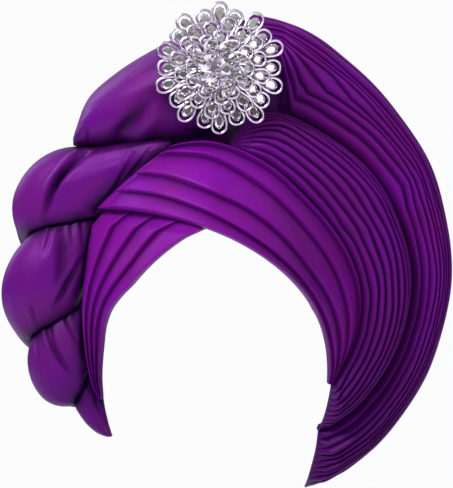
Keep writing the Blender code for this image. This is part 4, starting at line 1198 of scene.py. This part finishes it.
def studio():
    """A plain pale room: a sky of soft panels that only reflections and light see, lamps and a floor."""
    world = bpy.data.worlds.new("studio")
    bpy.context.scene.world = world
    world.use_nodes = True
    tree = world.node_tree
    seen = node(tree, "ShaderNodeLightPath")
    plain = node(tree, "ShaderNodeBackground", {"Color": (0.97, 0.97, 0.98, 1.0), "Strength": 1.0})
    sky = node(tree, "ShaderNodeTexCoord")
    lift = node(tree, "ShaderNodeSeparateXYZ", {"Vector": sky.outputs["Generated"]})
    level = node(tree, "ShaderNodeMapRange", {"From Min": -1.0, "Value": lift.outputs["Z"]})
    panels = ramp(tree, level.outputs["Result"], (
        (0.0, (0.05, 0.05, 0.06)), (0.42, (0.16, 0.16, 0.19)), (0.50, (0.10, 0.10, 0.13)),
        (0.60, (0.55, 0.56, 0.62)), (0.85, (1.0, 1.0, 1.0)),
    ))
    background = tree.nodes["Background"]
    set_inputs(tree, background, {"Color": panels, "Strength": 0.55})
    mix = node(tree, "ShaderNodeMixShader", {
        "Fac": seen.outputs["Is Camera Ray"],
        1: background.outputs["Background"],
        2: plain.outputs["Background"],
    })
    set_inputs(tree, tree.nodes["World Output"], {"Surface": mix.outputs["Shader"]})
    add_area("key", (-1.1, -1.3, 1.3), (0.0, 0.0, -0.05), (0.7, 0.7), 44.0, (1.0, 0.98, 1.0))
    add_area("fill", (0.7, -2.0, 0.1), (0.02, 0.0, -0.08), (1.2, 1.2), 9.0, (1.0, 0.97, 0.98))
    add_area("edge", (-1.1, 0.7, 0.7), (-0.05, 0.0, 0.0), (0.7, 0.9), 6.0, (0.72, 0.70, 1.0))
    bpy.ops.mesh.primitive_circle_add(vertices=96, radius=0.9, fill_type="NGON", location=(0, 0, FLOOR_Z))
    floor = bpy.context.object
    floor.name = "floor"
    material, tree, shader = new_shader("pale_floor")
    grain = node(tree, "ShaderNodeTexNoise", {"Scale": 40.0}).outputs["Fac"]
    shade = ramp(tree, grain, ((0.3, (0.86, 0.86, 0.87)), (0.7, (0.90, 0.90, 0.91))))
    set_inputs(tree, shader, {"Base Color": shade, "Roughness": 0.9})
    floor.data.materials.append(material)


FLOOR_Z = -0.31
# The camera: its place, and the width that it sees in the object's plane.
CAMERA_X, CAMERA_Z, CAMERA_FAR, SEEN_WIDTH = 0.0071, -0.0705, 3.0, 0.366
SENSOR = 36.0


def camera():
    """Straight in front, as far off as a portrait lens stands."""
    data = bpy.data.cameras.new("camera")
    thing = bpy.data.objects.new("camera", data)
    thing.location = (CAMERA_X, -CAMERA_FAR, CAMERA_Z)
    thing.rotation_euler = (math.radians(90), 0.0, 0.0)
    data.sensor_width = SENSOR
    data.lens = SENSOR * CAMERA_FAR / SEEN_WIDTH
    bpy.context.scene.collection.objects.link(thing)
    bpy.context.scene.camera = thing


def main():
    band_satin, fan_satin, puff_satin, cap_satin = (satin(name) for name in SATINS)
    over = dress(over_band(), band_satin, "satin_band", "brow_wrap_over")
    under = dress(under_band(), band_satin, "satin_band", "brow_wrap_under")
    inner = dress(
        fan_group("satin_fan_inner", lambda at: 0.0, valley_side(-1), INNER_PLEATS, 260, 0.0, lead=True),
        fan_satin, "satin_fan", "fan_inner",
    )
    outer = dress(
        fan_group("satin_fan_outer", valley_side(1), lambda at: 1.0, OUTER_PLEATS, 330, 40.0, tuck=True),
        fan_satin, "satin_fan", "fan_outer",
    )
    roll = dress(top_roll(), puff_satin, "satin_roll", "top_roll")
    strand_a = dress(
        twist_strand("satin_strand_a", STRAND_A_ROWS, STRAND_B_ROWS, STRAND_A_CREASES, 280, 4.0),
        puff_satin, "satin_twist", "twist_strand_a",
    )
    strand_b = dress(
        twist_strand("satin_strand_b", STRAND_B_ROWS, STRAND_A_ROWS, STRAND_B_CREASES, 260, 6.0),
        puff_satin, "satin_twist", "twist_strand_b",
    )
    head = dress(cap(), cap_satin, "cap_cloth", "head_cap")
    wires, stones = brooch()
    metal = plated_metal("brooch_plating")
    dress(wires, metal, "brooch_metal", "brooch_frame")
    dress(stones, crystal("brooch_crystal"), "brooch_crystal", "brooch_center")
    # Painted shade where the pieces meet, and on the roll and the fan beneath the brooch.
    contact_shade(strand_a, (strand_b, over, under, roll), 0.0085, 0.92)
    contact_shade(strand_b, (strand_a, over, under), 0.0085, 0.92)
    contact_shade(roll, (strand_a, over, inner, outer, wires), 0.0110, 0.80)
    contact_shade(under, (strand_a, strand_b), 0.0040, 0.60)
    contact_shade(over, (strand_a, roll), 0.0040, 0.50)
    contact_shade(inner, (over, roll, wires), 0.0040, 0.70)
    contact_shade(outer, (inner, roll, wires), 0.0050, 0.60)
    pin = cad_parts["brooch_pin"]
    for slot in pin.material_slots:
        slot.material = metal
    camera()
    studio()
    bpy.context.scene.view_settings.view_transform = "Standard"


main()
